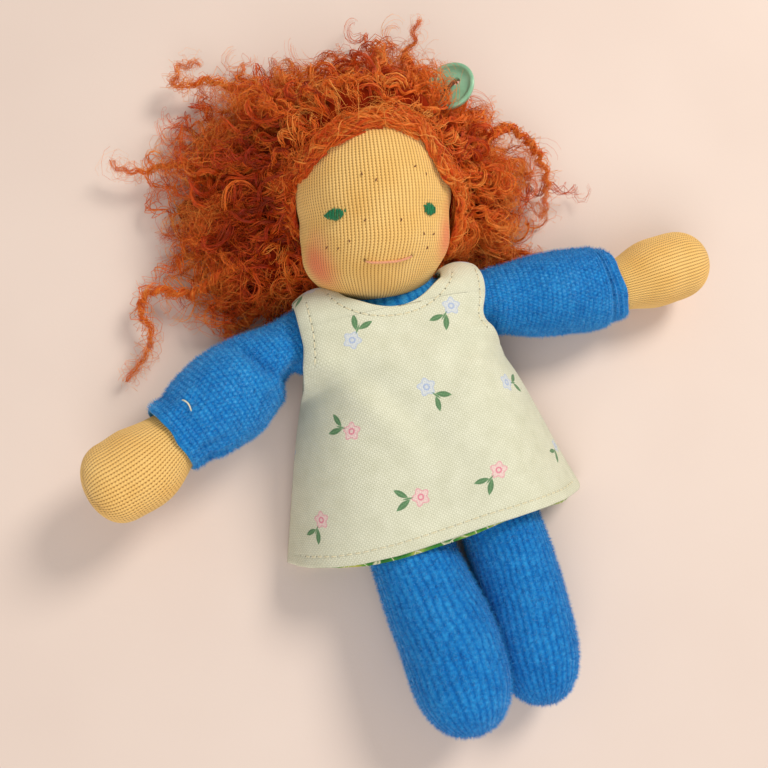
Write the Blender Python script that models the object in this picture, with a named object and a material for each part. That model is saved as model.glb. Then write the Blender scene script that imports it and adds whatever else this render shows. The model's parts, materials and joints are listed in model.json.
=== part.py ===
"""Pocket-size Waldorf doll: knit head, velour body with stuffed limbs, curly mohair hair
with a button in it, and a two-layer reversible pinafore dress.

The doll lies on its back.  +Y runs from the legs to the head, +Z is the way the face
looks, +X is towards the doll's own left hand.  The origin is on the flat of the dress's
back, midway along the body.  All driving sizes below are in millimetres.
"""

import math

import bpy
import numpy as np
from mathutils import Matrix, Vector

MM = 0.001

# ----------------------------------------------------------------- driving dimensions
GAP = 0.35                 # clearance between neighbouring pieces
CLOTH = 0.5                # thickness of one layer of the dress
VELOUR = 0.8               # thickness of the body's velour
KNIT = 0.6                 # thickness of the skin jersey
THREAD = 0.3               # radius of the heavy tying thread

# Head: an egg of wound wool, nodding forward and leaning to the doll's left
HEAD_C = (1.0, 42.0, 22.6)
HEAD_R = (16.6, 20.5, 17.3)      # across, along the head's own axis, front to back
HEAD_PITCH = 18.0
HEAD_ROLL = -7.0
NECK_DROP = 25.0                 # from the head's centre to the neck's pivot
NECK_R = 5.2
EYE_X, EYE_U = 9.35, -3.0        # eyes, across and along the head's axis
MOUTH_U, MOUTH_W = -12.4, 9.4
FACE_SHIFT = -0.6                # the features sit a little to the doll's right
WIG_GAP = 0.6
WIG_THICK = 0.9
HAIR_THICK = 4.2                 # depth of the hair sewn over the scalp

# Torso
TORSO_RINGS = (                  # y, half width, lowest z, highest z
    (25.6, 8.5, 11.0, 17.5), (24.4, 12.0, 8.6, 20.2), (22.0, 14.2, 6.2, 22.6), (18.5, 15.2, 4.2, 23.9),
    (13.0, 15.9, 2.2, 24.3), (5.0, 15.6, 1.8, 24.4), (-1.0, 16.2, 1.8, 24.2), (-3.4, 15.8, 2.2, 23.0),
    (-4.6, 13.5, 4.0, 19.5), (-5.0, 9.0, 7.0, 15.0),
)

# Shoulders and arms: the arm's line from the pivot to the cuff, then the hand's
SHOULDER_R = (-18.6, 18.4, 12.6)
SHOULDER_L = (19.4, 18.8, 12.0)
SHOULDER_BALL = 6.9
ARM_R_PATH = ((-18.6, 18.4, 12.6), (-24.4, 15.9, 12.9), (-31.0, 13.0, 13.4), (-38.0, 10.0, 14.0), (-44.0, 7.0, 14.8), (-50.2, 4.0, 15.6))
ARM_L_PATH = ((19.4, 18.8, 12.0), (26.0, 18.2, 11.7), (34.0, 17.3, 11.2), (41.0, 16.7, 10.8), (47.5, 16.4, 10.5), (53.4, 16.3, 10.3))
ARM_R_RADII = (6.9, 7.6, 9.4, 9.9, 8.9, 7.7)
ARM_L_RADII = (6.9, 7.5, 9.2, 9.5, 9.3, 8.4)
HAND_R_PATH = ((-46.2, 6.0, 15.0), (-50.6, 3.6, 15.7), (-56.5, 0.3, 16.2), (-62.5, -1.8, 16.5), (-69.6, -3.4, 16.6))
HAND_L_PATH = ((49.2, 16.4, 10.4), (54.0, 16.4, 10.3), (60.5, 17.0, 10.1), (67.0, 17.6, 9.9), (76.2, 18.3, 9.8))
HAND_R_RADII = (5.4, 6.4, 8.6, 8.9, 0.0)
HAND_L_RADII = (5.4, 6.1, 7.9, 8.2, 0.0)

# Hips and legs
HIP_R = (-9.9, -14.0, 10.8)
HIP_L = (10.5, -14.0, 10.8)
HIP_BALL = 8.3
LEG_R_PATH = ((-9.9, -14.0, 10.8), (-8.7, -26.0, 11.2), (-7.2, -38.0, 11.9), (-5.3, -50.0, 12.8), (-4.4, -67.9, 13.4))
LEG_L_PATH = ((10.5, -14.0, 10.8), (11.6, -26.0, 10.4), (12.8, -38.0, 9.8), (13.6, -50.0, 9.3), (14.0, -66.3, 9.2))
LEG_R_RADII = (8.3, 8.5, 9.1, 9.4, 0.0)
LEG_L_RADII = (8.3, 8.3, 8.4, 8.5, 0.0)

# Dress
HEM_Y = -28.4
SHOULDER_Y = 27.4                # the shoulder seams, at the height below
SHOULDER_Z = 15.0
FRONT_TURN_Y = 19.0              # where the front starts to roll over the shoulder, and the back
BACK_TURN_Y = 15.0
HEM_HALF = 33.0
ARMHOLE_Y = 8.0                  # lowest point of the armholes
NECK_FRONT_Y = 17.6
NECK_BACK_Y = 25.0
NECK_HALF = 11.9
SLIT_Y = 7.0                     # foot of the slit in the back

# Hair button
BUTTON_C = (23.0, 62.4, 29.0)
BUTTON_R = 5.2
BUTTON_T = 2.2
BUTTON_HOLE = 0.85
BUTTON_HOLE_X = 1.5
BUTTON_AXIS = (-0.22, 0.12, 0.97)

COLOURS = {
    "skin": (0.80, 0.55, 0.26, 1), "wool": (0.84, 0.78, 0.66, 1), "thread": (0.80, 0.76, 0.66, 1),
    "velour": (0.02, 0.19, 0.58, 1), "hair": (0.50, 0.08, 0.015, 1), "dress": (0.83, 0.82, 0.68, 1),
    "lining": (0.20, 0.36, 0.10, 1), "eyes": (0.01, 0.27, 0.11, 1), "mouth": (0.80, 0.40, 0.33, 1),
    "button": (0.32, 0.60, 0.42, 1), "dress_button": (0.75, 0.70, 0.58, 1),
}
ROUGH = {"button": 0.35, "dress_button": 0.3, "wool": 0.95, "velour": 0.95}

for o in list(bpy.data.objects):
    bpy.data.objects.remove(o)


# ------------------------------------------------------------------------ small tools
def material(slot):
    m = bpy.data.materials.get(slot)
    if m is None:
        m = bpy.data.materials.new(slot)
        m.use_nodes = True
        p = m.node_tree.nodes["Principled BSDF"]
        p.inputs["Base Color"].default_value = COLOURS[slot]
        p.inputs["Roughness"].default_value = ROUGH.get(slot, 0.85)
        p.inputs["Metallic"].default_value = 0.0
    return m


def empty(name, at_mm, parent=None):
    e = bpy.data.objects.new(name, None)
    bpy.context.scene.collection.objects.link(e)
    e.location = Vector(at_mm) * MM - (parent.matrix_world.translation if parent else Vector())
    e.parent = parent
    bpy.context.view_layer.update()
    return e


def add(name, verts_mm, faces, slot, carrier, helper=False):
    """A mesh object whose origin is its carrier's, with vertices given in the doll's frame."""
    origin = carrier.matrix_world.translation
    pts = np.array([tuple(v) for v in verts_mm], float)
    vol = sum(np.dot(pts[f[0]], np.cross(pts[f[i]], pts[f[i + 1]])) for f in faces for i in range(1, len(f) - 1))
    if vol < 0:                         # faces look outwards
        faces = [list(f)[::-1] for f in faces]
    me = bpy.data.meshes.new(name)
    me.from_pydata([tuple(Vector(v) * MM - origin) for v in verts_mm], [], [tuple(f) for f in faces])
    me.validate()
    me.update()
    o = bpy.data.objects.new(name, me)
    bpy.context.scene.collection.objects.link(o)
    o.parent = carrier
    me.materials.append(material(slot))
    me.shade_smooth()
    me.set_sharp_from_angle(angle=math.radians(50))
    if helper:
        o.hide_render = True
        o.display_type = "WIRE"
    return o


def cut(o, cutter):
    m = o.modifiers.new("cut", "BOOLEAN")
    m.operation = "DIFFERENCE"
    m.solver = "EXACT"
    m.object = cutter
    return o


def unit(v):
    v = np.array(v, float)
    return v / np.linalg.norm(v)


def catmull(points, per):
    """A smooth line through the points, with `per` steps between neighbours; any number of columns."""
    p = np.array(points, float)
    p = np.vstack([2 * p[0] - p[1], p, 2 * p[-1] - p[-2]])
    out = []
    for i in range(1, len(p) - 2):
        for k in range(per):
            t = k / per
            out.append(0.5 * ((2 * p[i]) + (p[i + 1] - p[i - 1]) * t + (2 * p[i - 1] - 5 * p[i] + 4 * p[i + 1] - p[i + 2]) * t * t
                              + (3 * p[i] - p[i - 1] - 3 * p[i + 1] + p[i + 2]) * t ** 3))
    out.append(p[-2])
    return np.array(out)


def frames(line, up=(0, 0, 1)):
    """Two directions across the line at each of its points."""
    t = np.gradient(line, axis=0)
    t /= np.linalg.norm(t, axis=1)[:, None]
    a = np.cross(np.array(up, float), t)
    a /= np.linalg.norm(a, axis=1)[:, None]
    b = np.cross(t, a)
    return t, a, b


def ring_faces(rows, n, first=0, flip=False):
    f = []
    for r in range(rows - 1):
        for k in range(n):
            q = [first + r * n + k, first + r * n + (k + 1) % n, first + (r + 1) * n + (k + 1) % n, first + (r + 1) * n + k]
            f.append(q[::-1] if flip else q)
    return f


def limb_rings(path, radii, ball, n, shrink=0.0, start_cut=0.0, steps=2, end_round=True, flat=1.0):
    """Rings of a stuffed limb: a half ball round the pivot, then the tube, then a rounded or open end.
    shrink is how far the surface lies inside the limb's own.  start_cut leaves a hole of that radius in the ball."""
    pr = catmull([tuple(p) + (r,) for p, r in zip(path, radii)], steps)
    line, rad = pr[:, :3], pr[:, 3]
    if end_round:                       # the last stretch closes like the end of an egg
        k = steps * (len(path) - 2)
        last = line[k:]
        s = np.linalg.norm(last - line[k], axis=1)
        s = s / s[-1]
        s = np.sin(np.linspace(0, math.pi / 2, len(last) + 4))
        seg = np.array([line[k] + (line[-1] - line[k]) * v for v in s])
        r_here = rad[k]
        rr = r_here * np.sqrt(np.maximum(0, 1 - s ** 2.4))
        line = np.vstack([line[:k], seg])
        rad = np.concatenate([rad[:k], rr])
        d = unit(line[-1] - line[k])
        line[k:] = line[k:] - np.outer(shrink * s, d)
    t, a, b = frames(line)
    rings = []
    if ball:
        d = unit(line[1] - line[0])
        aa = unit(np.cross((0, 0, 1), d))
        bb = np.cross(d, aa)
        r0 = ball - shrink
        lo = math.asin(min(1, start_cut / r0)) if start_cut else 0.22
        for ang in np.linspace(lo, math.pi / 2, 4)[:-1]:
            rings.append([np.array(line[0]) - d * r0 * math.cos(ang) + r0 * math.sin(ang) * (aa * math.cos(p) + bb * math.sin(p))
                          for p in np.linspace(0, 2 * math.pi, n, endpoint=False)])
    stop = len(line) - (1 if end_round else 0)
    for i in range(stop):
        r = max(rad[i] - shrink, 0.4)
        rings.append([line[i] + r * (a[i] * math.cos(p) + b[i] * math.sin(p) * flat) for p in np.linspace(0, 2 * math.pi, n, endpoint=False)])
    return rings, line, t, a, b


def solid_from_rings(rings, n):
    """A closed body from rings, with a point cap at each end."""
    v = [p for r in rings for p in r]
    f = ring_faces(len(rings), n)
    first, last = len(v), len(v) + 1
    v += [np.mean(rings[0], axis=0), np.mean(rings[-1], axis=0)]
    f += [[first, (k + 1) % n, k] for k in range(n)]
    base = (len(rings) - 1) * n
    f += [[last, base + k, base + (k + 1) % n] for k in range(n)]
    return v, f


def shell_from_rings(outer, inner, n, closed_end):
    """A cup from two stacks of rings.  It is open at its first ring, or at its last if closed_end is 'first'."""
    if closed_end == "first":
        outer, inner = outer[::-1], inner[::-1]
        turn = True
    else:
        turn = False
    v = [p for r in outer for p in r]
    f = ring_faces(len(outer), n, 0, turn)
    top = len(v)
    v += [np.mean(outer[-1], axis=0)]
    base = (len(outer) - 1) * n
    f += [([top, base + k, base + (k + 1) % n] if not turn else [top, base + (k + 1) % n, base + k]) for k in range(n)]
    i0 = len(v)
    v += [p for r in inner for p in r]
    f += ring_faces(len(inner), n, i0, not turn)
    top = len(v)
    v += [np.mean(inner[-1], axis=0)]
    base = i0 + (len(inner) - 1) * n
    f += [([top, base + (k + 1) % n, base + k] if not turn else [top, base + k, base + (k + 1) % n]) for k in range(n)]
    for k in range(n):
        q = [(k + 1) % n, k, i0 + k, i0 + (k + 1) % n]
        f.append(q[::-1] if turn else q)
    return v, f


def tube_shell(outer, inner, n):
    """A tube open at both ends."""
    v = [p for r in outer for p in r]
    f = ring_faces(len(outer), n)
    i0 = len(v)
    v += [p for r in inner for p in r]
    f += ring_faces(len(inner), n, i0, True)
    a, b = (len(outer) - 1) * n, i0 + (len(inner) - 1) * n
    for k in range(n):
        f.append([(k + 1) % n, k, i0 + k, i0 + (k + 1) % n])
        f.append([a + k, a + (k + 1) % n, b + (k + 1) % n, b + k])
    return v, f


def torus(centre, axis, major, minor, n=16, m=4):
    axis = unit(axis)
    a = unit(np.cross(axis, (0.3, 0.9, 0.31)))
    b = np.cross(axis, a)
    v, f = [], []
    for i in range(n):
        p = 2 * math.pi * i / n
        d = a * math.cos(p) + b * math.sin(p)
        for j in range(m):
            q = 2 * math.pi * j / m
            v.append(np.array(centre, float) + d * (major + minor * math.cos(q)) + axis * minor * math.sin(q))
    for i in range(n):
        for j in range(m):
            f.append([i * m + j, ((i + 1) % n) * m + j, ((i + 1) % n) * m + (j + 1) % m, i * m + (j + 1) % m])
    return v, f


def ball(centre, r, n=20, rows=10):
    v, f = [], []
    for i in range(1, rows):
        t = math.pi * i / rows
        for k in range(n):
            p = 2 * math.pi * k / n
            v.append(np.array(centre, float) + r * np.array((math.sin(t) * math.cos(p), math.sin(t) * math.sin(p), math.cos(t))))
    f = ring_faces(rows - 1, n, 0, True)
    top, bot = len(v), len(v) + 1
    v += [np.array(centre, float) + (0, 0, r), np.array(centre, float) - (0, 0, r)]
    f += [[top, k, (k + 1) % n] for k in range(n)]
    base = (rows - 2) * n
    f += [[bot, base + (k + 1) % n, base + k] for k in range(n)]
    return v, f


def block(lo, hi):
    x0, y0, z0 = lo
    x1, y1, z1 = hi
    v = [(x0, y0, z0), (x1, y0, z0), (x1, y1, z0), (x0, y1, z0), (x0, y0, z1), (x1, y0, z1), (x1, y1, z1), (x0, y1, z1)]
    return v, [(0, 3, 2, 1), (4, 5, 6, 7), (0, 1, 5, 4), (1, 2, 6, 5), (2, 3, 7, 6), (3, 0, 4, 7)]


def strand(line, radii, n=7):
    """A closed tapering strand along a line, with pointed ends."""
    line = np.array(line, float)
    t = np.gradient(line, axis=0)
    t /= np.linalg.norm(t, axis=1)[:, None]
    a = unit(np.cross(t[0], (0.2, 0.1, 1.0)))
    rings = []
    for i in range(len(line)):
        a = unit(a - t[i] * np.dot(a, t[i]))      # carried along without twist
        b = np.cross(t[i], a)
        rings.append([line[i] + radii[i] * (a * math.cos(p) + b * math.sin(p)) for p in np.linspace(0, 2 * math.pi, n, endpoint=False)])
    return solid_from_rings(rings, n)


# ----------------------------------------------------------------------- carriers
HC = np.array(HEAD_C)
head_turn = Matrix.Rotation(math.radians(HEAD_ROLL), 3, "Z") @ Matrix.Rotation(math.radians(HEAD_PITCH), 3, "X")
RIGHT, UP, OUT = (np.array(head_turn.col[i]) for i in range(3))
NECK = HC - UP * NECK_DROP

doll = empty("doll", (0, 0, 0))
neck_at = empty("neck_joint", NECK, doll)
head_at = empty("head_joint", NECK, neck_at)
button_at = empty("button_joint", BUTTON_C, head_at)
seam_r_at = empty("shoulder_joint_right", SHOULDER_R, doll)
arm_r_at = empty("arm_joint_right", SHOULDER_R, seam_r_at)
seam_l_at = empty("shoulder_joint_left", SHOULDER_L, doll)
arm_l_at = empty("arm_joint_left", SHOULDER_L, seam_l_at)
hip_r_at = empty("hip_joint_right", HIP_R, doll)
hip_l_at = empty("hip_joint_left", HIP_L, doll)


def head_point(x, u, w):
    return HC + RIGHT * x + UP * u + OUT * w


def on_head(x, u, lift=0.0):
    """A point of the face's surface, lifted off it."""
    a, b, c = HEAD_R
    w = c * math.sqrt(max(0.0, 1 - (x / a) ** 2 - (u / b) ** 2))
    nrm = unit((x / a ** 2, u / b ** 2, w / c ** 2))
    return head_point(x + nrm[0] * lift, u + nrm[1] * lift, w + nrm[2] * lift)


# ------------------------------------------------------------------------- the head
def egg(grow, pole, reach, n, rows, lump=None, floor=None, start=0.0):
    """Rings over the head's egg, grown by grow, from a pole direction (in the head's axes) out to reach radians."""
    pole = unit(pole)
    e1 = unit(np.cross(pole, (1, 0, 0)))
    e2 = np.cross(pole, e1)
    a, b, c = (r + grow for r in HEAD_R)
    rings = []
    for i in range(rows + 1):
        t = start + (reach - start) * i / rows
        ring = []
        for k in range(n):
            p = 2 * math.pi * k / n
            d = pole * math.cos(t) + math.sin(t) * (e1 * math.cos(p) + e2 * math.sin(p))
            s = 1 / math.sqrt((d[0] / a) ** 2 + (d[1] / b) ** 2 + (d[2] / c) ** 2)
            if lump:
                s += lump(d)
            q = head_point(*(d * s))
            if floor is not None and q[2] < floor:
                q[2] = floor
            ring.append(q)
        rings.append(ring)
    return rings


N_HEAD = 20
down = (0, -1, 0)
# the skin is open round the neck, at the foot of the egg
neck_open = math.acos(-18.6 / HEAD_R[1] * -1)
skin_out = egg(0.0, (0, 1, 0), math.pi - 0.36, N_HEAD, 9, start=0.12)
skin_in = egg(-KNIT, (0, 1, 0), math.pi - 0.37, N_HEAD, 9, start=0.12)
v, f = shell_from_rings(skin_out[::-1], skin_in[::-1], N_HEAD, "last")
add("head_skin", v, f, "skin", head_at)

# wound wool head, with the groove that the eye line thread pulls into it
core_rows = []
a, b, c = (r - KNIT - GAP for r in HEAD_R)
levels = [t for t in np.linspace(0.16, math.pi - 0.55, 12) if abs(b * math.cos(t) - EYE_U) > 2.6]
levels = sorted(levels + [math.acos((EYE_U + e) / b) for e in (-1.5, 0.0, 1.5)])
for t in levels:
    u0 = b * math.cos(t)
    groove = 0.8 if abs(u0 - EYE_U) < 0.1 else 0.0
    core_rows.append([head_point((a - groove) * math.sin(t) * math.cos(p), u0, -(c - groove) * math.sin(t) * math.sin(p))
                      for p in np.linspace(0, 2 * math.pi, N_HEAD, endpoint=False)])
v, f = solid_from_rings(core_rows[::-1], N_HEAD)
add("head_core", v, f, "wool", head_at)

# eye line thread, an oval that follows the groove
k_eye = math.sqrt(1 - (EYE_U / HEAD_R[1]) ** 2)
oval, n_oval, m_oval = [], N_HEAD, 4
for i in range(n_oval):
    p = 2 * math.pi * i / n_oval
    for j in range(m_oval):
        q = 2 * math.pi * j / m_oval
        oval.append(head_point(((a * k_eye) - 0.2 + 0.16 * math.cos(q)) * math.cos(p), EYE_U + 0.22 * math.sin(q), ((c * k_eye) - 0.2 + 0.16 * math.cos(q)) * math.sin(p)))
v = oval
f = [[i * m_oval + j, i * m_oval + (j + 1) % m_oval, ((i + 1) % n_oval) * m_oval + (j + 1) % m_oval, ((i + 1) % n_oval) * m_oval + j]
     for i in range(n_oval) for j in range(m_oval)]
add("eye_line_thread", v, f, "thread", head_at)


def patch(name, x0, u0, half_w, half_h, slot):
    """An embroidered patch: a low lens that follows the face."""
    n, rows = 12, 2
    top, bottom = [], []
    for i in range(1, rows + 1):
        k = i / rows
        for p in np.linspace(0, 2 * math.pi, n, endpoint=False):
            x, u = x0 + half_w * k * math.cos(p), u0 + half_h * k * math.sin(p)
            top.append(on_head(x, u, GAP + 0.15 + 0.35 * math.sqrt(max(0, 1 - k * k))))
            bottom.append(on_head(x, u, GAP))
    v = [on_head(x0, u0, GAP + 0.5)] + top + [on_head(x0, u0, GAP)] + bottom
    f, i0 = [], 1 + n * rows
    for k in range(n):
        f.append([0, 1 + k, 1 + (k + 1) % n])
        f.append([i0, i0 + 1 + (k + 1) % n, i0 + 1 + k])
        for r in range(rows - 1):
            q = [1 + r * n + k, 1 + (r + 1) * n + k, 1 + (r + 1) * n + (k + 1) % n, 1 + r * n + (k + 1) % n]
            f.append(q)
            f.append([i0 + x for x in q[::-1]])
        e = 1 + (rows - 1) * n
        f.append([e + (k + 1) % n, e + k, i0 + e + k, i0 + e + (k + 1) % n])
    return add(name, v, f, slot, head_at)


patch("eye_right", FACE_SHIFT - EYE_X, EYE_U + 0.2, 2.0, 1.3, "eyes")
patch("eye_left", FACE_SHIFT + EYE_X, EYE_U - 0.2, 1.7, 1.35, "eyes")
line = [on_head(FACE_SHIFT - 0.3 + s * MOUTH_W / 2, MOUTH_U + 0.5 * s * s, GAP + 0.25) for s in np.linspace(-1, 1, 9)]
v, f = strand(line, [0.1] + [0.2] * 7 + [0.1], 5)
add("mouth_thread", v, f, "mouth", head_at)

# wig cap, crocheted, from the hairline to the nape
CAP_POLE = (0, math.sin(math.radians(32)), -math.cos(math.radians(32)))
CAP_REACH = math.radians(87)
cap_out = egg(WIG_GAP + WIG_THICK, CAP_POLE, CAP_REACH, N_HEAD, 7, start=0.12)
cap_in = egg(WIG_GAP, CAP_POLE, CAP_REACH, N_HEAD, 7, start=0.12)
v, f = shell_from_rings(cap_out[::-1], cap_in[::-1], N_HEAD, "last")
add("wig_cap", v, f, "hair", head_at)


# ------------------------------------------------------------------------- the hair
def waves(d, seed, size):
    return size * (math.sin(5.1 * d[0] + 1.7 * seed) * math.cos(4.3 * d[1] + 2.3 * seed) + 0.6 * math.sin(8.3 * d[2] + 3.1 * seed + 3.9 * d[0]))


HAIR_IN = 2 * WIG_GAP + WIG_THICK
hair_in = egg(HAIR_IN, CAP_POLE, CAP_REACH, N_HEAD, 8, start=0.12)
hair_out = egg(HAIR_IN + HAIR_THICK - 0.9, CAP_POLE, CAP_REACH - 0.05, N_HEAD, 8, lump=lambda d: waves(d, 1.0, 0.42), floor=0.0, start=0.12)
v, f = shell_from_rings(hair_out[::-1], hair_in[::-1], N_HEAD, "last")
scalp_hair = add("hair_scalp", v, f, "hair", head_at)
v, f = block((-40, -20, -10), (40, 27.6, 60))
cut(scalp_hair, add("nape_room", v, f, "hair", head_at, helper=True))

# what the loose masses are kept clear of: the scalp's hair with room to spare
scalp_room = [r for r in egg(HAIR_IN + HAIR_THICK + 0.3, (0, 1, 0), math.pi - 0.15, N_HEAD, 12, start=0.15)]
v, f = solid_from_rings(scalp_room[::-1], N_HEAD)
scalp_cutter = add("scalp_room", v, f, "hair", head_at, helper=True)


HAIR_EDGE = (                    # how far the loose hair spreads from the head's centre, by direction
    (-38, 23.5), (-30, 29.0), (-16, 36.5), (-3, 40.0), (13, 39.5), (33, 37.0), (50, 40.5), (58, 42.0), (70, 42.0), (88, 39.0),
    (105, 40.0), (120, 43.0), (133, 44.0), (149, 46.5), (169, 44.0), (183, 42.0), (195, 39.0), (205, 35.0), (213, 31.0), (222, 25.0),
)
HAIR_TOP = 19.0                  # height of the loose hair where it leaves the head
HAIR_MID = (0.6, 44.0)


def mass(name, from_deg, to_deg, seed, slices, cutter):
    """A fan of curls lying on the bench round the head, thick by the head and thin at its edge."""
    edges = np.array(HAIR_EDGE, float)
    rings = []
    for i in range(slices + 1):
        deg = from_deg + (to_deg - from_deg) * i / slices
        far = np.interp(deg, edges[:, 0], edges[:, 1]) * (1 + 0.035 * math.sin(0.21 * deg + seed))
        near = 17.5
        d = np.array((math.cos(math.radians(deg)), math.sin(math.radians(deg)), 0.0))
        top = HAIR_TOP * (1 + 0.06 * math.sin(0.17 * deg + 2 * seed))
        loop = [(near, 0.45), (near, top), (near + (far - near) * 0.3, top * 0.98), (near + (far - near) * 0.62, top * 0.78),
                (near + (far - near) * 0.88, top * 0.46), (far, 3.4), (far - 1.2, 0.45)]
        rings.append([np.array((HAIR_MID[0], HAIR_MID[1], 0)) + d * (r + (0.9 * math.sin(0.37 * deg + 1.9 * k + seed) if 0 < k < 5 and r > near + 1 else 0.0)) + np.array((0, 0, z)) for k, (r, z) in enumerate(loop)])
    v, f = solid_from_rings(rings, len(loop))
    return cut(add(name, v, f, "hair", head_at), cutter)


mass("hair_side_right", 140.5, 222.0, 2.0, 9, scalp_cutter)
mass("hair_crown", 52.5, 139.5, 8.0, 9, scalp_cutter)
mass("hair_side_left", -38.0, 51.5, 5.0, 9, scalp_cutter)


def lock(name, points, r0, r1, wobble=0.0, turns=0.0, per=3, sides=5):
    """A twisted lock of curls along a smooth line."""
    line = catmull(points, per)
    s = np.linspace(0, 1, len(line))
    rad = r0 + (r1 - r0) * s
    if wobble:
        t, a, b = frames(line)
        ph = 2 * math.pi * turns * s
        line = line + wobble * (a * np.cos(ph)[:, None] + b * np.sin(ph)[:, None])
    rad = rad * np.sqrt(np.clip(np.minimum(s, 1 - s) * 14 + 0.12, 0, 1))
    line[:, 2] = np.maximum(line[:, 2], 0.45 + rad)
    v, f = strand(line, rad, sides)
    return add(name, v, f, "hair", head_at)


lock("lock_crown_right", [(-21.5, 83.0, 6.0), (-25.0, 85.0, 6.6), (-29.0, 85.6, 7.0), (-32.6, 84.6, 7.0), (-34.2, 87.0, 7.2), (-31.0, 89.8, 7.8), (-27.6, 89.0, 8.2)], 1.8, 1.1)
lock("lock_temple_right", [(-41.6, 67.0, 6.0), (-45.4, 66.2, 6.8), (-49.2, 67.4, 6.6), (-52.0, 70.2, 6.2)], 1.8, 1.1)
lock("lock_shoulder_right", [(-40.6, 35.6, 6.0), (-44.8, 37.5, 6.0), (-49.6, 38.6, 5.4), (-52.4, 35.0, 5.0), (-51.0, 30.2, 4.6), (-53.0, 25.6, 4.0), (-58.4, 20.6, 3.2)], 2.0, 1.0)
lock("curl_neck_right", [(-30.6, 27.6, 4.0), (-34.0, 27.4, 4.0), (-35.2, 24.6, 3.6), (-32.4, 22.6, 3.2), (-29.4, 23.4, 3.0)], 1.4, 1.1)
lock("lock_ring_left", [(39.6, 60.6, 7.0), (42.6, 56.6, 8.0), (44.6, 51.0, 8.4), (44.8, 45.4, 8.0), (43.2, 40.8, 7.6), (41.4, 36.4, 7.2)], 1.5, 1.2)
lock("lock_neck_left", [(32.6, 29.8, 4.0), (35.6, 30.8, 4.2), (37.4, 28.6, 4.0), (40.2, 29.6, 3.6)], 1.4, 1.0)
lock("lock_crown_tuft", [(19.6, 82.0, 9.0), (22.0, 84.0, 10.5), (22.6, 86.4, 12.0), (25.0, 88.4, 12.5)], 1.6, 0.9)


# --------------------------------------------------------------------- hair button
def button(name, centre, axis, r, t, hole, hole_x, carrier, slot, rim=0.9, dish=0.75, holes=2):
    axis = unit(axis)
    a = unit(np.cross((0, 1, 0), axis))
    b = np.cross(axis, a)
    c = np.array(centre, float)

    def at(x, y, z):
        return c + a * x + b * y + axis * z

    prof = [(0.0, -t / 2), (r * 0.6, -t / 2), (r * 0.93, -t / 2 + 0.35), (r, 0.0), (r * 0.97, t / 2 - 0.15), (r * 0.9, t / 2),
            (r - rim, t / 2 - 0.1), (r - rim - 0.6, t / 2 - dish), (0.0, t / 2 - dish)]
    n = 18
    rings = [[at(x * math.cos(p), x * math.sin(p), z) for p in np.linspace(0, 2 * math.pi, n, endpoint=False)] for x, z in prof[1:-1]]
    v, f = solid_from_rings(rings, n)
    v[-2], v[-1] = at(0, 0, -t / 2), at(0, 0, t / 2 - dish)
    o = add(name, v, f, slot, carrier)
    for k in range(holes):
        ang = 2 * math.pi * k / holes
        hx, hy = hole_x * math.cos(ang), hole_x * math.sin(ang)
        cyl = [[at(hx + hole * math.cos(p), hy + hole * math.sin(p), z) for p in np.linspace(0.1, 2 * math.pi + 0.1, 8, endpoint=False)] for z in (-t, t)]
        hv, hf = solid_from_rings(cyl, 8)
        cut(o, add("%s_drill_%d" % (name, k + 1), hv, hf, slot, carrier, helper=True))
    return a, b, axis


ba, bb, bn = button("hair_button", BUTTON_C, BUTTON_AXIS, BUTTON_R, BUTTON_T, BUTTON_HOLE, BUTTON_HOLE_X, button_at, "button")
BC = np.array(BUTTON_C)
over = BUTTON_T / 2 + 0.35
line = [BC + ba * BUTTON_HOLE_X - bn * 3.6, BC + ba * BUTTON_HOLE_X - bn * 1.4, BC + ba * BUTTON_HOLE_X + bn * (over - 0.55), BC + ba * (BUTTON_HOLE_X - 0.35) + bn * over,
        BC - ba * (BUTTON_HOLE_X - 0.35) + bn * over, BC - ba * BUTTON_HOLE_X + bn * (over - 0.55), BC - ba * BUTTON_HOLE_X - bn * 1.4, BC - ba * BUTTON_HOLE_X - bn * 3.6]
v, f = strand(line, [0.28] * len(line), 6)
add("hair_button_thread", v, f, "thread", head_at)

# --------------------------------------------------------------------------- neck
neck_rings = []
n = 14
e1, e2 = RIGHT, -OUT
for ang in np.linspace(0.3, math.pi / 2, 4)[:-1]:
    neck_rings.append([NECK - UP * NECK_R * math.cos(ang) + NECK_R * math.sin(ang) * (e1 * math.cos(p) + e2 * math.sin(p)) for p in np.linspace(0, 2 * math.pi, n, endpoint=False)])
for h in (0.0, 2.0, NECK_DROP - 21.4, NECK_DROP - 19.6, NECK_DROP - 18.6):
    r = NECK_R - (0.5 if 2.5 < h < 5 else 0.0) - (0.6 if h > NECK_DROP - 19 else 0.0)
    neck_rings.append([NECK + UP * h + r * (e1 * math.cos(p) + e2 * math.sin(p)) for p in np.linspace(0, 2 * math.pi, n, endpoint=False)])
v, f = solid_from_rings([r[::-1] for r in neck_rings], n)
add("neck_core", v, f, "wool", neck_at)
v, f = torus(NECK + UP * (NECK_DROP - 21.4), UP, NECK_R - 0.5 + GAP + THREAD, THREAD)
add("neck_tie_thread", v, f, "thread", neck_at)


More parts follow.
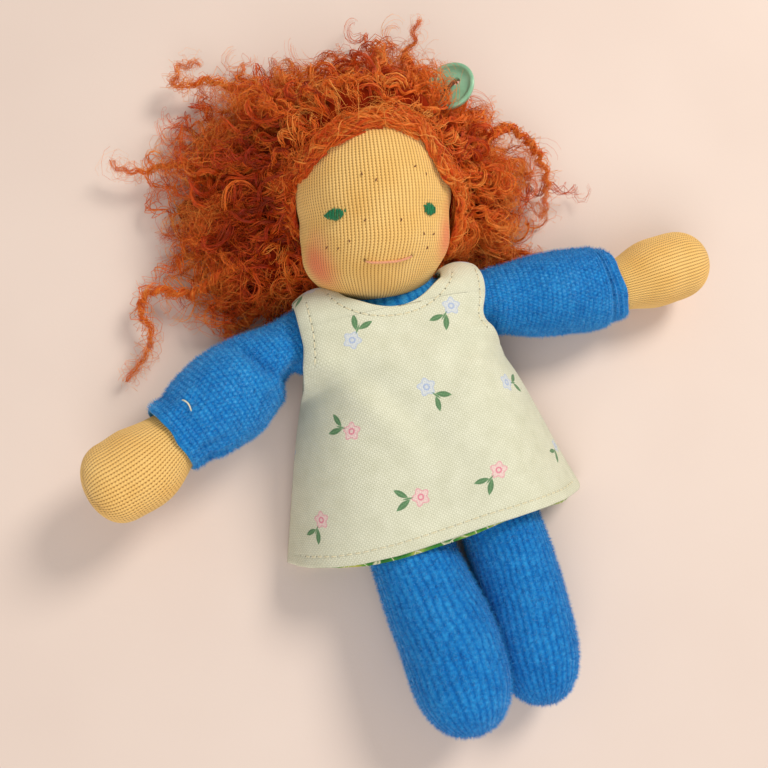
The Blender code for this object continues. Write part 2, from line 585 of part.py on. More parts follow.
# -------------------------------------------------------------------------- torso
def torso_rings(inside, n=20):
    rings = []
    first, last = TORSO_RINGS[0][0] - inside, TORSO_RINGS[-1][0] + inside
    for y, w, lo, hi in TORSO_RINGS:
        y = min(max(y, last), first)
        if rings and abs(rings[-1][0][1] - y) < 0.05:
            y -= 0.12 if y > 0 else 0.0
        if rings and abs(rings[-1][0][1] - y) < 0.05:
            continue
        w, lo, hi = max(w - inside, 2.5), lo + inside, hi - inside
        ring = []
        for p in np.linspace(0, 2 * math.pi, n, endpoint=False):
            cx, cz = math.cos(p), math.sin(p)
            x = w * math.copysign(abs(cx) ** 0.78, cx)
            z = (lo + hi) / 2 + (hi - lo) / 2 * math.copysign(abs(cz) ** 0.78, cz)
            ring.append(np.array((x, y, z)))
        rings.append(ring)
    return rings


def socket(name, centre, r, carrier):
    v, f = ball(centre, r, 15, 8)
    return add(name, v, f, "velour", carrier, helper=True)


v, f = solid_from_rings(torso_rings(0.0), 20)
torso = add("torso_velour", v, f, "velour", doll)
v, f = solid_from_rings(torso_rings(VELOUR), 20)
torso_hollow = add("torso_hollow", v, f, "velour", doll, helper=True)
cut(torso, torso_hollow)
v, f = solid_from_rings(torso_rings(VELOUR + GAP), 20)
stuffing = add("torso_stuffing", v, f, "wool", doll)
for o, extra in ((torso, 0.0), (stuffing, GAP)):
    tag = "_stuffing" if extra else "_velour"
    cut(o, socket("neck_room" + tag, NECK, NECK_R + 1.7 + extra, doll))
    cut(o, socket("shoulder_room_right" + tag, SHOULDER_R, SHOULDER_BALL + 1.4 + extra, doll))
    cut(o, socket("shoulder_room_left" + tag, SHOULDER_L, SHOULDER_BALL + 1.4 + extra, doll))
    cut(o, socket("hip_room_right" + tag, HIP_R, HIP_BALL + 1.5 + extra, doll))
    cut(o, socket("hip_room_left" + tag, HIP_L, HIP_BALL + 1.5 + extra, doll))
    # the hollow between the shoulders, with room for the head to nod and tip back
    for k, (nod, room) in enumerate(((10.0, 1.0), (0.0, 2.3), (-8.0, 2.3))):
        spin = Matrix.Rotation(math.radians(nod), 3, Vector(RIGHT))
        rings = [[NECK + np.array(spin @ Vector(q - NECK)) for q in r] for r in egg(room + extra, (0, 1, 0), math.pi - 0.1, 14, 8, start=0.5)]
        v, f = solid_from_rings(rings, 14)
        cut(o, add("head_room_%d%s" % (k + 1, tag), v, f, "velour", doll, helper=True))


# --------------------------------------------------------------------------- arms
def arm(side, path, radii, hand_path, hand_radii, seam, carrier):
    n = 12
    outer, line, t, a_, b_ = limb_rings(path, radii, SHOULDER_BALL, n, 0.0, end_round=False)
    inner = limb_rings(path, radii, SHOULDER_BALL, n, VELOUR, end_round=False)[0]
    v, f = shell_from_rings(outer, inner, n, "first")
    add("sleeve_" + side, v, f, "velour", carrier)
    fill = limb_rings(path, radii, SHOULDER_BALL, n, VELOUR + GAP, end_round=False)[0]
    keep = [r for r in fill if np.dot(np.mean(r, axis=0) - np.array(hand_path[0]), unit(np.array(path[-1]) - np.array(path[0]))) < -1.2]
    v, f = solid_from_rings(keep, n)
    add("arm_stuffing_" + side, v, f, "wool", carrier)
    h_out = limb_rings(hand_path, hand_radii, 0, n, 0.0)[0]
    h_in = limb_rings(hand_path, hand_radii, 0, n, KNIT)[0]
    v, f = shell_from_rings(h_out, h_in, n, "last")
    add("hand_skin_" + side, v, f, "skin", carrier)
    h_fill = limb_rings(hand_path, hand_radii, 0, n, KNIT + GAP)[0]
    v, f = solid_from_rings(h_fill, n)
    add("hand_stuffing_" + side, v, f, "wool", carrier)
    # the thread that ties the hand into the cuff
    hp = np.array(hand_path, float)
    v, f = torus(hp[0] + (hp[1] - hp[0]) * 0.28, hp[1] - hp[0], hand_radii[0] + 0.27 + GAP + 0.22, 0.22)
    add("wrist_tie_" + side, v, f, "thread", carrier)
    # the gathering thread that sews the top of the arm to the body
    p = np.array(path, float)
    d = unit(p[1] - p[0])
    ang = math.radians(28)
    rr = SHOULDER_BALL + GAP + 0.3
    v, f = torus(p[0] - d * rr * math.cos(ang), d, rr * math.sin(ang), 0.25, 12, 4)
    add("shoulder_thread_" + side, v, f, "thread", seam)
    return line, t, a_, b_


line_r, t_r, a_r, b_r = arm("right", ARM_R_PATH, ARM_R_RADII, HAND_R_PATH, HAND_R_RADII, seam_r_at, arm_r_at)
arm("left", ARM_L_PATH, ARM_L_RADII, HAND_L_PATH, HAND_L_RADII, seam_l_at, arm_l_at)

# a short stitch on the right cuff
i = len(line_r) - 2
c0, ax, side_v, top_v = line_r[i], t_r[i], a_r[i], b_r[i]
rad_here = 8.3
pts = []
for s in np.linspace(-1, 1, 7):
    ang = math.radians(118 + 11 * s)
    rr = rad_here + 0.75 + 0.25 * (1 - s * s)
    pts.append(c0 + ax * (-0.6 + 0.9 * s) + rr * (side_v * math.cos(ang) + top_v * math.sin(ang)))
v, f = strand(pts, [0.12] + [0.2] * 5 + [0.12], 6)
add("cuff_stitch_right", v, f, "thread", arm_r_at)


# --------------------------------------------------------------------------- legs
def leg(side, path, radii, carrier):
    n = 14
    outer = limb_rings(path, radii, HIP_BALL, n, 0.0, start_cut=2.6)[0]
    inner = limb_rings(path, radii, HIP_BALL, n, VELOUR, start_cut=2.5)[0]
    v, f = shell_from_rings(outer, inner, n, "last")
    add("leg_velour_" + side, v, f, "velour", carrier)
    fill = limb_rings(path, radii, HIP_BALL, n, VELOUR + GAP)[0]
    v, f = solid_from_rings(fill, n)
    add("leg_stuffing_" + side, v, f, "wool", carrier)
    p = np.array(path, float)
    d = unit(p[1] - p[0])
    ang = math.radians(34)
    rr = HIP_BALL + GAP + 0.35
    v, f = torus(p[0] - d * rr * math.cos(ang), d, rr * math.sin(ang), 0.25, 12, 4)
    add("hip_thread_" + side, v, f, "thread", carrier)


leg("right", LEG_R_PATH, LEG_R_RADII, hip_r_at)
leg("left", LEG_L_PATH, LEG_L_RADII, hip_l_at)


# -------------------------------------------------------------------------- dress
def smooth(x, x0, x1):
    t = min(1.0, max(0.0, (x - x0) / (x1 - x0)))
    return t * t * (3 - 2 * t)


def half_width(y):
    """The dress's half width: straps, armholes, then the A-line down to the hem."""
    if y >= ARMHOLE_Y:
        return 20.3 + 1.6 * (1 - smooth(y, ARMHOLE_Y, 16.0))
    s = (ARMHOLE_Y - y) / (ARMHOLE_Y - HEM_Y)
    return 21.9 + (HEM_HALF - 21.9) * s ** 0.92


def side_height(y):
    return 8.8 - 4.8 * smooth(-y, -ARMHOLE_Y, 24.0)


def roll(s, turn_y):
    """s runs up the cloth in mm, then round the shoulder from 0 to 1.  Gives y and how much of the height is left."""
    if s[1] is None:
        return s[0], 1.0
    a = s[1] * math.pi / 2
    return turn_y + (SHOULDER_Y - turn_y) * math.sin(a), math.cos(a)


def front_z(x, y, left):
    crest = 26.2 - 4.2 * smooth(-y, -4.0, 28.4) - 0.4 * smooth(y, 8, 20)
    edge = side_height(y)
    edge += (21.9 - edge) * smooth(y, ARMHOLE_Y - 2.5, ARMHOLE_Y + 3.0)
    k = min(1.0, abs(x) / half_width(y))
    z = edge + (crest - edge) * (1 - k ** 3.2) ** 0.75
    return SHOULDER_Z + 0.85 + (z - SHOULDER_Z - 0.85) * left


def back_z(x, y, left):
    """Flat along the middle, rising at the sides and round the shoulders."""
    edge = side_height(y) - 2.4
    edge += (1.5 - edge) * smooth(y, ARMHOLE_Y - 2.5, ARMHOLE_Y + 3.0)
    k = max(0.0, (min(1.0, abs(x) / half_width(y)) - 0.62) / 0.38)
    z = HALF_GAP + CLOTH + edge * k ** 2.2
    return SHOULDER_Z - 0.85 + (z - SHOULDER_Z + 0.85) * left


HALF_GAP = 0.18


def cloth_point(height, turn_y, side, across, s, neck_half):
    y, left = roll(s, turn_y)
    inner = neck_half(y)
    x = side * (inner + (half_width(y) - inner) * across)
    return np.array((x, y, height(x, y, left)))


def sheet(name, height, turn_y, near, far, neck_y, slit_y, slot, cols=5):
    """One layer of the dress: two halves that share the centre line below the neck opening or slit."""

    def neck_half(y):
        if y <= slit_y + 1e-6:
            return 0.0
        if y <= neck_y + 1e-6:
            return 0.3
        return max(0.3, NECK_HALF * math.sqrt(max(0.0, 1 - ((SHOULDER_Y - y) / (SHOULDER_Y - neck_y)) ** 2)))

    rows = sorted(set([HEM_Y, -17.0, -5.0, 3.0, ARMHOLE_Y - 1.5, ARMHOLE_Y + 1.8] + [y for y in (slit_y, neck_y, neck_y + 0.7, turn_y) if y <= turn_y]))
    rows = [(y, None) for y in rows if y < turn_y] + [(0, 0.0)]
    bends = {0.2, 0.4, 0.6, 0.8, 1.0}
    for y in (neck_y, neck_y + 0.7):
        if y > turn_y:
            bends.add(math.asin((y - turn_y) / (SHOULDER_Y - turn_y)) * 2 / math.pi)
    bends = sorted(bends)
    rows += [(0, b) for i, b in enumerate(bends) if i == 0 or b - bends[i - 1] > 0.03]
    key, verts = {}, []

    def vertex(side, i, j, layer):
        s = rows[j]
        y = roll(s, turn_y)[0]
        joined = neck_half(y) == 0.0 and i == 0
        k = (0 if joined else side, i, j, layer)
        if k not in key:
            u = (i / cols) ** 0.85
            step = (0, 0.004) if s[1] is not None else (0.02, None)
            here = cloth_point(height, turn_y, side, u, s, neck_half)
            more = u + 0.004 if u < 0.5 else u - 0.004
            du = (cloth_point(height, turn_y, side, more, s, neck_half) - here) * (1 if more > u else -1)
            if s[1] is None:
                dv = cloth_point(height, turn_y, side, u, (s[0] + 0.02, None), lambda y: neck_half(roll(s, turn_y)[0])) - here
            else:
                d = 0.004 if s[1] < 0.5 else -0.004
                dv = (cloth_point(height, turn_y, side, u, (0, s[1] + d), lambda y: neck_half(roll(s, turn_y)[0])) - here) * (1 if d > 0 else -1)
            nrm = unit(np.cross(du, dv)) * side
            if joined:
                nrm = unit(nrm * (0, 1, 1))
            key[k] = len(verts)
            verts.append(here + nrm * (near, far)[layer])
        return key[k]

    faces = []
    for side in (-1, 1):
        for j in range(len(rows) - 1):
            for i in range(cols):
                top = [vertex(side, i, j, 1), vertex(side, i + 1, j, 1), vertex(side, i + 1, j + 1, 1), vertex(side, i, j + 1, 1)]
                low = [vertex(side, i, j, 0), vertex(side, i + 1, j, 0), vertex(side, i + 1, j + 1, 0), vertex(side, i, j + 1, 0)]
                for q, flip in ((top, side < 0), (low, side > 0)):      # the same diagonal in every layer
                    for tri in ((q[0], q[1], q[2]), (q[0], q[2], q[3])):
                        faces.append(tri[::-1] if flip else tri)
            e = [vertex(side, cols, j, 0), vertex(side, cols, j + 1, 0), vertex(side, cols, j + 1, 1), vertex(side, cols, j, 1)]
            faces.append(e if side > 0 else e[::-1])
            if neck_half(roll(rows[j + 1], turn_y)[0]) > 0:
                e = [vertex(side, 0, j, 1), vertex(side, 0, j + 1, 1), vertex(side, 0, j + 1, 0), vertex(side, 0, j, 0)]
                faces.append(e if side > 0 else e[::-1])
        for i in range(cols):
            for j, up in ((0, False), (len(rows) - 1, True)):
                e = [vertex(side, i, j, 0), vertex(side, i + 1, j, 0), vertex(side, i + 1, j, 1), vertex(side, i, j, 1)]
                if up:
                    e = e[::-1]
                faces.append(e if side > 0 else e[::-1])
    return add(name, verts, faces, slot, doll)


sheet("dress_front", front_z, FRONT_TURN_Y, HALF_GAP, HALF_GAP + CLOTH, NECK_FRONT_Y, NECK_FRONT_Y, "dress")
sheet("dress_front_lining", front_z, FRONT_TURN_Y, -HALF_GAP - CLOTH, -HALF_GAP, NECK_FRONT_Y, NECK_FRONT_Y, "lining")
sheet("dress_back", back_z, BACK_TURN_Y, -HALF_GAP - CLOTH, -HALF_GAP, NECK_BACK_Y, SLIT_Y, "dress")
sheet("dress_back_lining", back_z, BACK_TURN_Y, HALF_GAP, HALF_GAP + CLOTH, NECK_BACK_Y, SLIT_Y, "lining")


def stitch_line(name, points, lift):
    pts = []
    for x, y in catmull(points, 2):
        left = math.sqrt(max(0.0, 1 - (max(0.0, y - FRONT_TURN_Y) / (SHOULDER_Y - FRONT_TURN_Y)) ** 2))
        e = 0.05
        zx = (front_z(x + e, y, left) - front_z(x - e, y, left)) / (2 * e)
        l2 = math.sqrt(max(0.0, 1 - (max(0.0, y + e - FRONT_TURN_Y) / (SHOULDER_Y - FRONT_TURN_Y)) ** 2))
        zy = (front_z(x, y + e, l2) - front_z(x, y, left)) / e
        nrm = unit((max(-2.0, min(2.0, -zx)), -zy, 1.0))
        pts.append(np.array((x, y, front_z(x, y, left))) + nrm * lift)
    v, f = strand(pts, [0.14] * len(pts), 4)
    return add(name, v, f, "thread", doll)


up_by = HALF_GAP + CLOTH + GAP + 0.3
stitch_line("hem_topstitch", [(x, HEM_Y + 2.2) for x in np.linspace(-29.5, 29.5, 8)], up_by)
stitch_line("neck_topstitch", [(-13.2, 24.0), (-10.8, 19.6), (-6.8, 17.0), (0, 15.8), (6.8, 17.0), (10.8, 19.6), (13.2, 24.0)], up_by)
stitch_line("armhole_topstitch_right", [(-18.0, 24.0), (-18.2, 18.0), (-18.8, 13.0)], up_by)
stitch_line("armhole_topstitch_left", [(18.0, 24.0), (18.2, 18.0), (18.8, 13.0)], up_by)

# closure at the back of the neck: a small button on one edge, a thread loop on the other
CLOSE_C, CLOSE_AXIS = np.array((3.4, 22.9, 2.2)), unit((0.0, 0.62, -0.78))
ca, cb, cn = button("dress_button", CLOSE_C, CLOSE_AXIS, 2.1, 0.9, 0.4, 0.7, doll, "dress_button", rim=0.5, dish=0.25)
side_x = -1.0 if ca[0] > 0 else 1.0
loop = [CLOSE_C + side_x * ca * 4.4 + cb * 1.3, CLOSE_C + side_x * ca * 3.2 + cb * 1.9]
loop += [CLOSE_C + 2.7 * (-side_x * ca * math.cos(p) + cb * math.sin(p)) for p in np.radians((110, 70, 30, -10, -50, -90, -125))]
loop += [CLOSE_C + side_x * ca * 4.3 - cb * 1.3]
v, f = strand(loop, [0.16] * len(loop), 5)
add("dress_button_loop", v, f, "thread", doll)
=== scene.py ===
"""Waldorf doll: the looks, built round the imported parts.  Lengths in the tables below are in millimetres."""
import json
import math

import bpy
import numpy as np
from mathutils import Matrix, Vector

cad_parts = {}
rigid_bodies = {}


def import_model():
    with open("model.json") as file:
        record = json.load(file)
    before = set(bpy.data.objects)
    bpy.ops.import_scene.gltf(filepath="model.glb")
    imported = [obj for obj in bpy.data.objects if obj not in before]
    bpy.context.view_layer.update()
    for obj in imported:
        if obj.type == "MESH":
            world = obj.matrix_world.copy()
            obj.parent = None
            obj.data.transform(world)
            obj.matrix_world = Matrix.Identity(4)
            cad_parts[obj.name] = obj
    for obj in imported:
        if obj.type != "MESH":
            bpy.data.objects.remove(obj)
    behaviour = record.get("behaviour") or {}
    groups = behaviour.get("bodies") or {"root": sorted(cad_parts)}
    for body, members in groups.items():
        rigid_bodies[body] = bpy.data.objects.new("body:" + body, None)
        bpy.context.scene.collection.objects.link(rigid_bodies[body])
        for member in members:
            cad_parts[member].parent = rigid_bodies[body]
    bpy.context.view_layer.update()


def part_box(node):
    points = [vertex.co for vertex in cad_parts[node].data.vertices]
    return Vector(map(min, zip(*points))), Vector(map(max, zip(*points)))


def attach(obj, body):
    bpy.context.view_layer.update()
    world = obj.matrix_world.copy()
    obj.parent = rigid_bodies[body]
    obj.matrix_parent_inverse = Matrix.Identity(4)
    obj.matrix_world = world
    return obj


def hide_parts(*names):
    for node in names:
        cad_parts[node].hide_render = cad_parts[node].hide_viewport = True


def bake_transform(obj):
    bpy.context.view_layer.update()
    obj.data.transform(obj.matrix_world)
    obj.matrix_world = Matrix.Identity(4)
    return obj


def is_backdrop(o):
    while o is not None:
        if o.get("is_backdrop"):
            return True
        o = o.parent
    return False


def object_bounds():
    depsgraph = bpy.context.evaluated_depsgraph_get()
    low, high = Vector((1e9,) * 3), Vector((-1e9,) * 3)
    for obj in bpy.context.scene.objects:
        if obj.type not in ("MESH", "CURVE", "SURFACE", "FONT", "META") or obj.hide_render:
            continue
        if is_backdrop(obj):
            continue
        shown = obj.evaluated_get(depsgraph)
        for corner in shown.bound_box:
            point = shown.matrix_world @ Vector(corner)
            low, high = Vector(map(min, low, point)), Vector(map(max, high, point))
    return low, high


for old in list(bpy.data.objects):
    bpy.data.objects.remove(old)
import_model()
MM = 0.001
TAU = 2 * math.pi
rng = np.random.default_rng(11)

# ------------------------------------------------------------------ the doll's sizes
HEAD_C = (1.0, 42.0, 22.6)
HEAD_R = (16.6, 20.5, 17.3)
HEAD_PITCH, HEAD_ROLL, NECK_DROP = 18.0, -7.0, 25.0
EYE_U = -3.0
TORSO_RINGS = ((25.6, 8.5, 11, 17.5), (24.4, 12, 8.6, 20.2), (22, 14.2, 6.2, 22.6), (18.5, 15.2, 4.2, 23.9), (13, 15.9, 2.2, 24.3),
               (5, 15.6, 1.8, 24.4), (-1, 16.2, 1.8, 24.2), (-3.4, 15.8, 2.2, 23), (-4.6, 13.5, 4, 19.5), (-5, 9, 7, 15))
ARM_R_PATH = ((-18.6, 18.4, 12.6), (-24.4, 15.9, 12.9), (-31.0, 13.0, 13.4), (-38.0, 10.0, 14.0), (-44.0, 7.0, 14.8), (-50.2, 4.0, 15.6))
ARM_R_RADII = (6.9, 7.6, 9.4, 9.9, 8.9, 7.4)
ARM_L_PATH = ((19.4, 18.8, 12.0), (26.0, 18.2, 11.7), (34.0, 17.3, 11.2), (41.0, 16.7, 10.8), (47.5, 16.4, 10.5), (53.4, 16.3, 10.3))
ARM_L_RADII = (6.9, 7.5, 9.2, 9.5, 9.3, 8.4)
HAND_R_PATH = ((-46.2, 6.0, 15.0), (-50.6, 3.4, 15.7), (-56.2, 0.1, 16.2), (-61.7, -2.0, 16.4), (-68.3, -3.8, 16.4))
HAND_R_RADII = (5.4, 6.4, 8.4, 8.4, 0)
HAND_L_PATH = ((49.2, 16.4, 10.4), (54.0, 16.5, 10.3), (60.2, 17.2, 10.0), (66.4, 17.9, 9.7), (75.2, 18.6, 9.6))
HAND_L_RADII = (5.4, 6.0, 7.7, 7.9, 0)
LEG_R_PATH = ((-9.9, -14, 10.8), (-8.7, -26, 11.2), (-7.2, -38, 11.9), (-5.3, -50, 12.8), (-4.5, -67.0, 13.4))
LEG_R_RADII = (8.3, 8.5, 9.3, 10.1, 0)
LEG_L_PATH = ((10.5, -14, 10.8), (11.5, -26, 10.4), (12.4, -38, 9.8), (12.4, -50, 9.3), (11.6, -66.0, 9.2))
LEG_L_RADII = (8.3, 8.3, 8.5, 8.7, 0)
HEM_Y, SHOULDER_Y, SHOULDER_Z, FRONT_TURN_Y, BACK_TURN_Y = -28.4, 27.4, 15.0, 19.0, 15.0
HEM_HALF, ARMHOLE_Y, NECK_FRONT_Y, NECK_BACK_Y, NECK_HALF, SLIT_Y = 33.0, 8.0, 17.6, 25.0, 11.9, 7.0
HALF_GAP, CLOTH = 0.18, 0.5
BUTTON_LOOK = (21.8, 61.3, 29.0)
NECK_LOOK_Y = 18.2
BUTTON_C, BUTTON_R, BUTTON_T, BUTTON_AXIS = (23.0, 62.4, 29.0), 5.2, 2.2, (-0.22, 0.12, 0.97)
HAIR_MID = (0.6, 44.0)
HAIR_EDGE = ((-38, 23.5), (-30, 29), (-16, 36.5), (-3, 40), (13, 39.5), (33, 37), (50, 40.5), (58, 42), (70, 42), (88, 39), (105, 40), (120, 43),
             (133, 44), (149, 46.5), (169, 44), (183, 42), (195, 39), (205, 35), (213, 31), (222, 25))


# ------------------------------------------------------------------ numbers and shapes
def unit(v):
    v = np.array(v, float)
    return v / np.maximum(np.linalg.norm(v, axis=-1, keepdims=True), 1e-12)


def smooth(x, a, b):
    t = np.clip((np.asarray(x, float) - a) / (b - a), 0, 1)
    return t * t * (3 - 2 * t)


def bell(x, mid, width):
    return np.exp(-((np.asarray(x, float) - mid) / width) ** 2)


def catmull(points, per):
    p = np.array(points, float)
    p = np.vstack([2 * p[0] - p[1], p, 2 * p[-1] - p[-2]])
    t = (np.arange(per) / per)[:, None]
    out = [0.5 * (2 * p[i] + (p[i + 1] - p[i - 1]) * t + (2 * p[i - 1] - 5 * p[i] + 4 * p[i + 1] - p[i + 2]) * t ** 2
                  + (3 * p[i] - p[i - 1] - 3 * p[i + 1] + p[i + 2]) * t ** 3) for i in range(1, len(p) - 2)]
    return np.vstack(out + [p[-2][None]])


def along(line):
    return np.concatenate([[0], np.cumsum(np.linalg.norm(np.diff(line[:, :3], axis=0), axis=1))])


def at(line, s, wanted):
    return np.stack([np.interp(wanted, s, line[:, k]) for k in range(line.shape[1])], axis=1)


def ripple(p, seed, size, terms=7):
    """A smooth random field between about -1 and 1, over points in mm."""
    g = np.random.default_rng(seed)
    out = np.zeros(p.shape[:-1])
    for _ in range(terms):
        d = unit(g.normal(size=3)) * g.uniform(0.7, 1.5) * TAU / size
        out += np.sin(p @ d + g.uniform(0, TAU))
    return out / terms * 1.6


def grid(rows, cols, closed, first=0):
    r, k = np.meshgrid(np.arange(rows - 1), np.arange(cols if closed else cols - 1), indexing="ij")
    r, k = r.ravel(), k.ravel()
    k2 = (k + 1) % cols
    q = np.stack([r * cols + k, r * cols + k2, (r + 1) * cols + k2, (r + 1) * cols + k], 1) + first
    pick = (np.stack([r, r, r + 1, r + 1], 1), np.stack([k, k + 1, k + 1, k], 1))
    return q, pick


def make(name, verts, faces, mat, uv=None, attrs=None, flat=False):
    """A mesh object from points in mm, lists of face arrays, and uv arrays to match."""
    me = bpy.data.meshes.new(name)
    verts = np.asarray(verts, float).reshape(-1, 3) * MM
    if not np.isfinite(verts).all():
        raise ValueError(name + " has points that aren't numbers")
    me.vertices.add(len(verts))
    me.vertices.foreach_set("co", verts.astype(np.float32).ravel())
    faces = [np.asarray(f, np.int32) for f in faces]
    loops = np.concatenate([f.ravel() for f in faces]).astype(np.int32)
    sizes = np.concatenate([np.full(len(f), f.shape[1], np.int32) for f in faces])
    me.loops.add(len(loops))
    me.loops.foreach_set("vertex_index", loops)
    me.polygons.add(len(sizes))
    me.polygons.foreach_set("loop_start", np.concatenate([[0], np.cumsum(sizes)[:-1]]).astype(np.int32))
    me.update(calc_edges=True)
    if uv is not None:
        layer = me.uv_layers.new(name="UVMap")
        layer.data.foreach_set("uv", np.concatenate([np.asarray(a, float).ravel() for a in uv]).astype(np.float32))
    for key, values in (attrs or {}).items():
        me.attributes.new(key, "FLOAT", "POINT").data.foreach_set("value", np.asarray(values, np.float32).ravel())
    me.polygons.foreach_set("use_smooth", np.full(len(sizes), not flat))
    me.update()
    o = bpy.data.objects.new(name, me)
    bpy.context.scene.collection.objects.link(o)
    for m in (mat if isinstance(mat, (list, tuple)) else [mat]):
        me.materials.append(m)
    return o


def put(o, body, slot, *nodes):
    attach(o, body)
    if nodes:
        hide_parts(*nodes)
    return o


def outward(o):
    """Turns every face out, by the sign of the volume."""
    me = o.data
    n = len(me.loop_triangles) if me.loop_triangles else 0
    me.calc_loop_triangles()
    n = len(me.loop_triangles)
    tri = np.zeros(n * 3, np.int32)
    me.loop_triangles.foreach_get("vertices", tri)
    co = np.zeros(len(me.vertices) * 3, np.float32)
    me.vertices.foreach_get("co", co)
    co = co.reshape(-1, 3).astype(float)
    a, b, c = (co[tri.reshape(-1, 3)[:, i]] for i in range(3))
    if np.einsum("ij,ij->i", a, np.cross(b, c)).sum() < 0:
        me.flip_normals()
    return o


# ------------------------------------------------------------------ nodes
def lin(r, g, b):
    return tuple((c / 12.92 if c <= 0.04045 else ((c + 0.055) / 1.055) ** 2.4) for c in (r / 255, g / 255, b / 255)) + (1.0,)


class Val:
    """A socket that takes part in sums."""

    def __init__(self, tree, sock):
        self.t, self.s = tree, sock

    def __add__(self, o): return M(self.t, "ADD", self, o)
    def __radd__(self, o): return M(self.t, "ADD", o, self)
    def __sub__(self, o): return M(self.t, "SUBTRACT", self, o)
    def __rsub__(self, o): return M(self.t, "SUBTRACT", o, self)
    def __mul__(self, o): return M(self.t, "MULTIPLY", self, o)
    def __rmul__(self, o): return M(self.t, "MULTIPLY", o, self)
    def __truediv__(self, o): return M(self.t, "DIVIDE", self, o)
    def __pow__(self, o): return M(self.t, "POWER", self, o)
    def f(self, op, *more): return M(self.t, op, self, *more)


def plug(tree, a, socket):
    if isinstance(a, Val):
        tree.links.new(a.s, socket)
    else:
        socket.default_value = a


def M(tree, op, *args):
    n = tree.nodes.new("ShaderNodeMath")
    n.operation = op
    for i, a in enumerate(args):
        plug(tree, a, n.inputs[i])
    return Val(tree, n.outputs[0])


def step(tree, x, a, b):
    """0 below a, 1 above b, smooth between; b may be the smaller."""
    n = tree.nodes.new("ShaderNodeMapRange")
    n.interpolation_type = "SMOOTHSTEP"
    lo, hi, to = (a, b, (0.0, 1.0)) if a < b else (b, a, (1.0, 0.0))
    plug(tree, x, n.inputs["Value"])
    n.inputs["From Min"].default_value, n.inputs["From Max"].default_value = lo, hi
    n.inputs["To Min"].default_value, n.inputs["To Max"].default_value = to
    return Val(tree, n.outputs["Result"])


def coords(tree, kind="Object"):
    return Val(tree, tree.nodes.new("ShaderNodeTexCoord").outputs[kind])


def split(tree, v):
    n = tree.nodes.new("ShaderNodeSeparateXYZ")
    tree.links.new(v.s, n.inputs[0])
    return [Val(tree, n.outputs[i]) for i in range(3)]


def join(tree, x, y, z=0.0):
    n = tree.nodes.new("ShaderNodeCombineXYZ")
    for a, sock in zip((x, y, z), n.inputs):
        plug(tree, a, sock)
    return Val(tree, n.outputs[0])


def attr(tree, name):
    n = tree.nodes.new("ShaderNodeAttribute")
    n.attribute_name = name
    return Val(tree, n.outputs["Fac"])


def noise(tree, v, scale, detail=2.0, rough=0.5, warp=0.0, out="Fac"):
    n = tree.nodes.new("ShaderNodeTexNoise")
    tree.links.new(v.s, n.inputs["Vector"])
    n.inputs["Scale"].default_value, n.inputs["Detail"].default_value = scale, detail
    n.inputs["Roughness"].default_value, n.inputs["Distortion"].default_value = rough, warp
    return Val(tree, n.outputs[out])


def voronoi(tree, v, scale, feature="F1", out="Distance", rand=1.0):
    n = tree.nodes.new("ShaderNodeTexVoronoi")
    n.feature = feature
    tree.links.new(v.s, n.inputs["Vector"])
    n.inputs["Scale"].default_value = scale
    n.inputs["Randomness"].default_value = rand
    return Val(tree, n.outputs[out])


def mixc(tree, fac, a, b, mode="MIX"):
    n = tree.nodes.new("ShaderNodeMix")
    n.data_type, n.blend_type = "RGBA", mode
    plug(tree, fac, n.inputs[0])
    plug(tree, a, n.inputs[6])
    plug(tree, b, n.inputs[7])
    return Val(tree, n.outputs[2])


def ramp(tree, x, stops):
    n = tree.nodes.new("ShaderNodeValToRGB")
    plug(tree, x, n.inputs[0])
    e = n.color_ramp.elements
    while len(e) < len(stops):
        e.new(0.5)
    for el, (p, c) in zip(e, stops):
        el.position, el.color = p, c
    return Val(tree, n.outputs[0])


def bump(tree, height, distance, strength=1.0, normal=None):
    n = tree.nodes.new("ShaderNodeBump")
    n.inputs["Strength"].default_value, n.inputs["Distance"].default_value = strength, distance * MM
    tree.links.new(height.s, n.inputs["Height"])
    if normal is not None:
        tree.links.new(normal.s, n.inputs["Normal"])
    return Val(tree, n.outputs[0])


def shader(name, rough=0.8, spec=0.3, sheen=0.0, sheen_rough=0.5, sheen_tint=(1, 1, 1, 1), color=None):
    m = bpy.data.materials.new(name)
    m.use_nodes = True
    t = m.node_tree
    b = t.nodes["Principled BSDF"]
    b.inputs["Roughness"].default_value = rough
    b.inputs["Specular IOR Level"].default_value = spec
    b.inputs["Sheen Weight"].default_value = sheen
    b.inputs["Sheen Roughness"].default_value = sheen_rough
    b.inputs["Sheen Tint"].default_value = sheen_tint
    if color:
        b.inputs["Base Color"].default_value = color
    return m, t, b


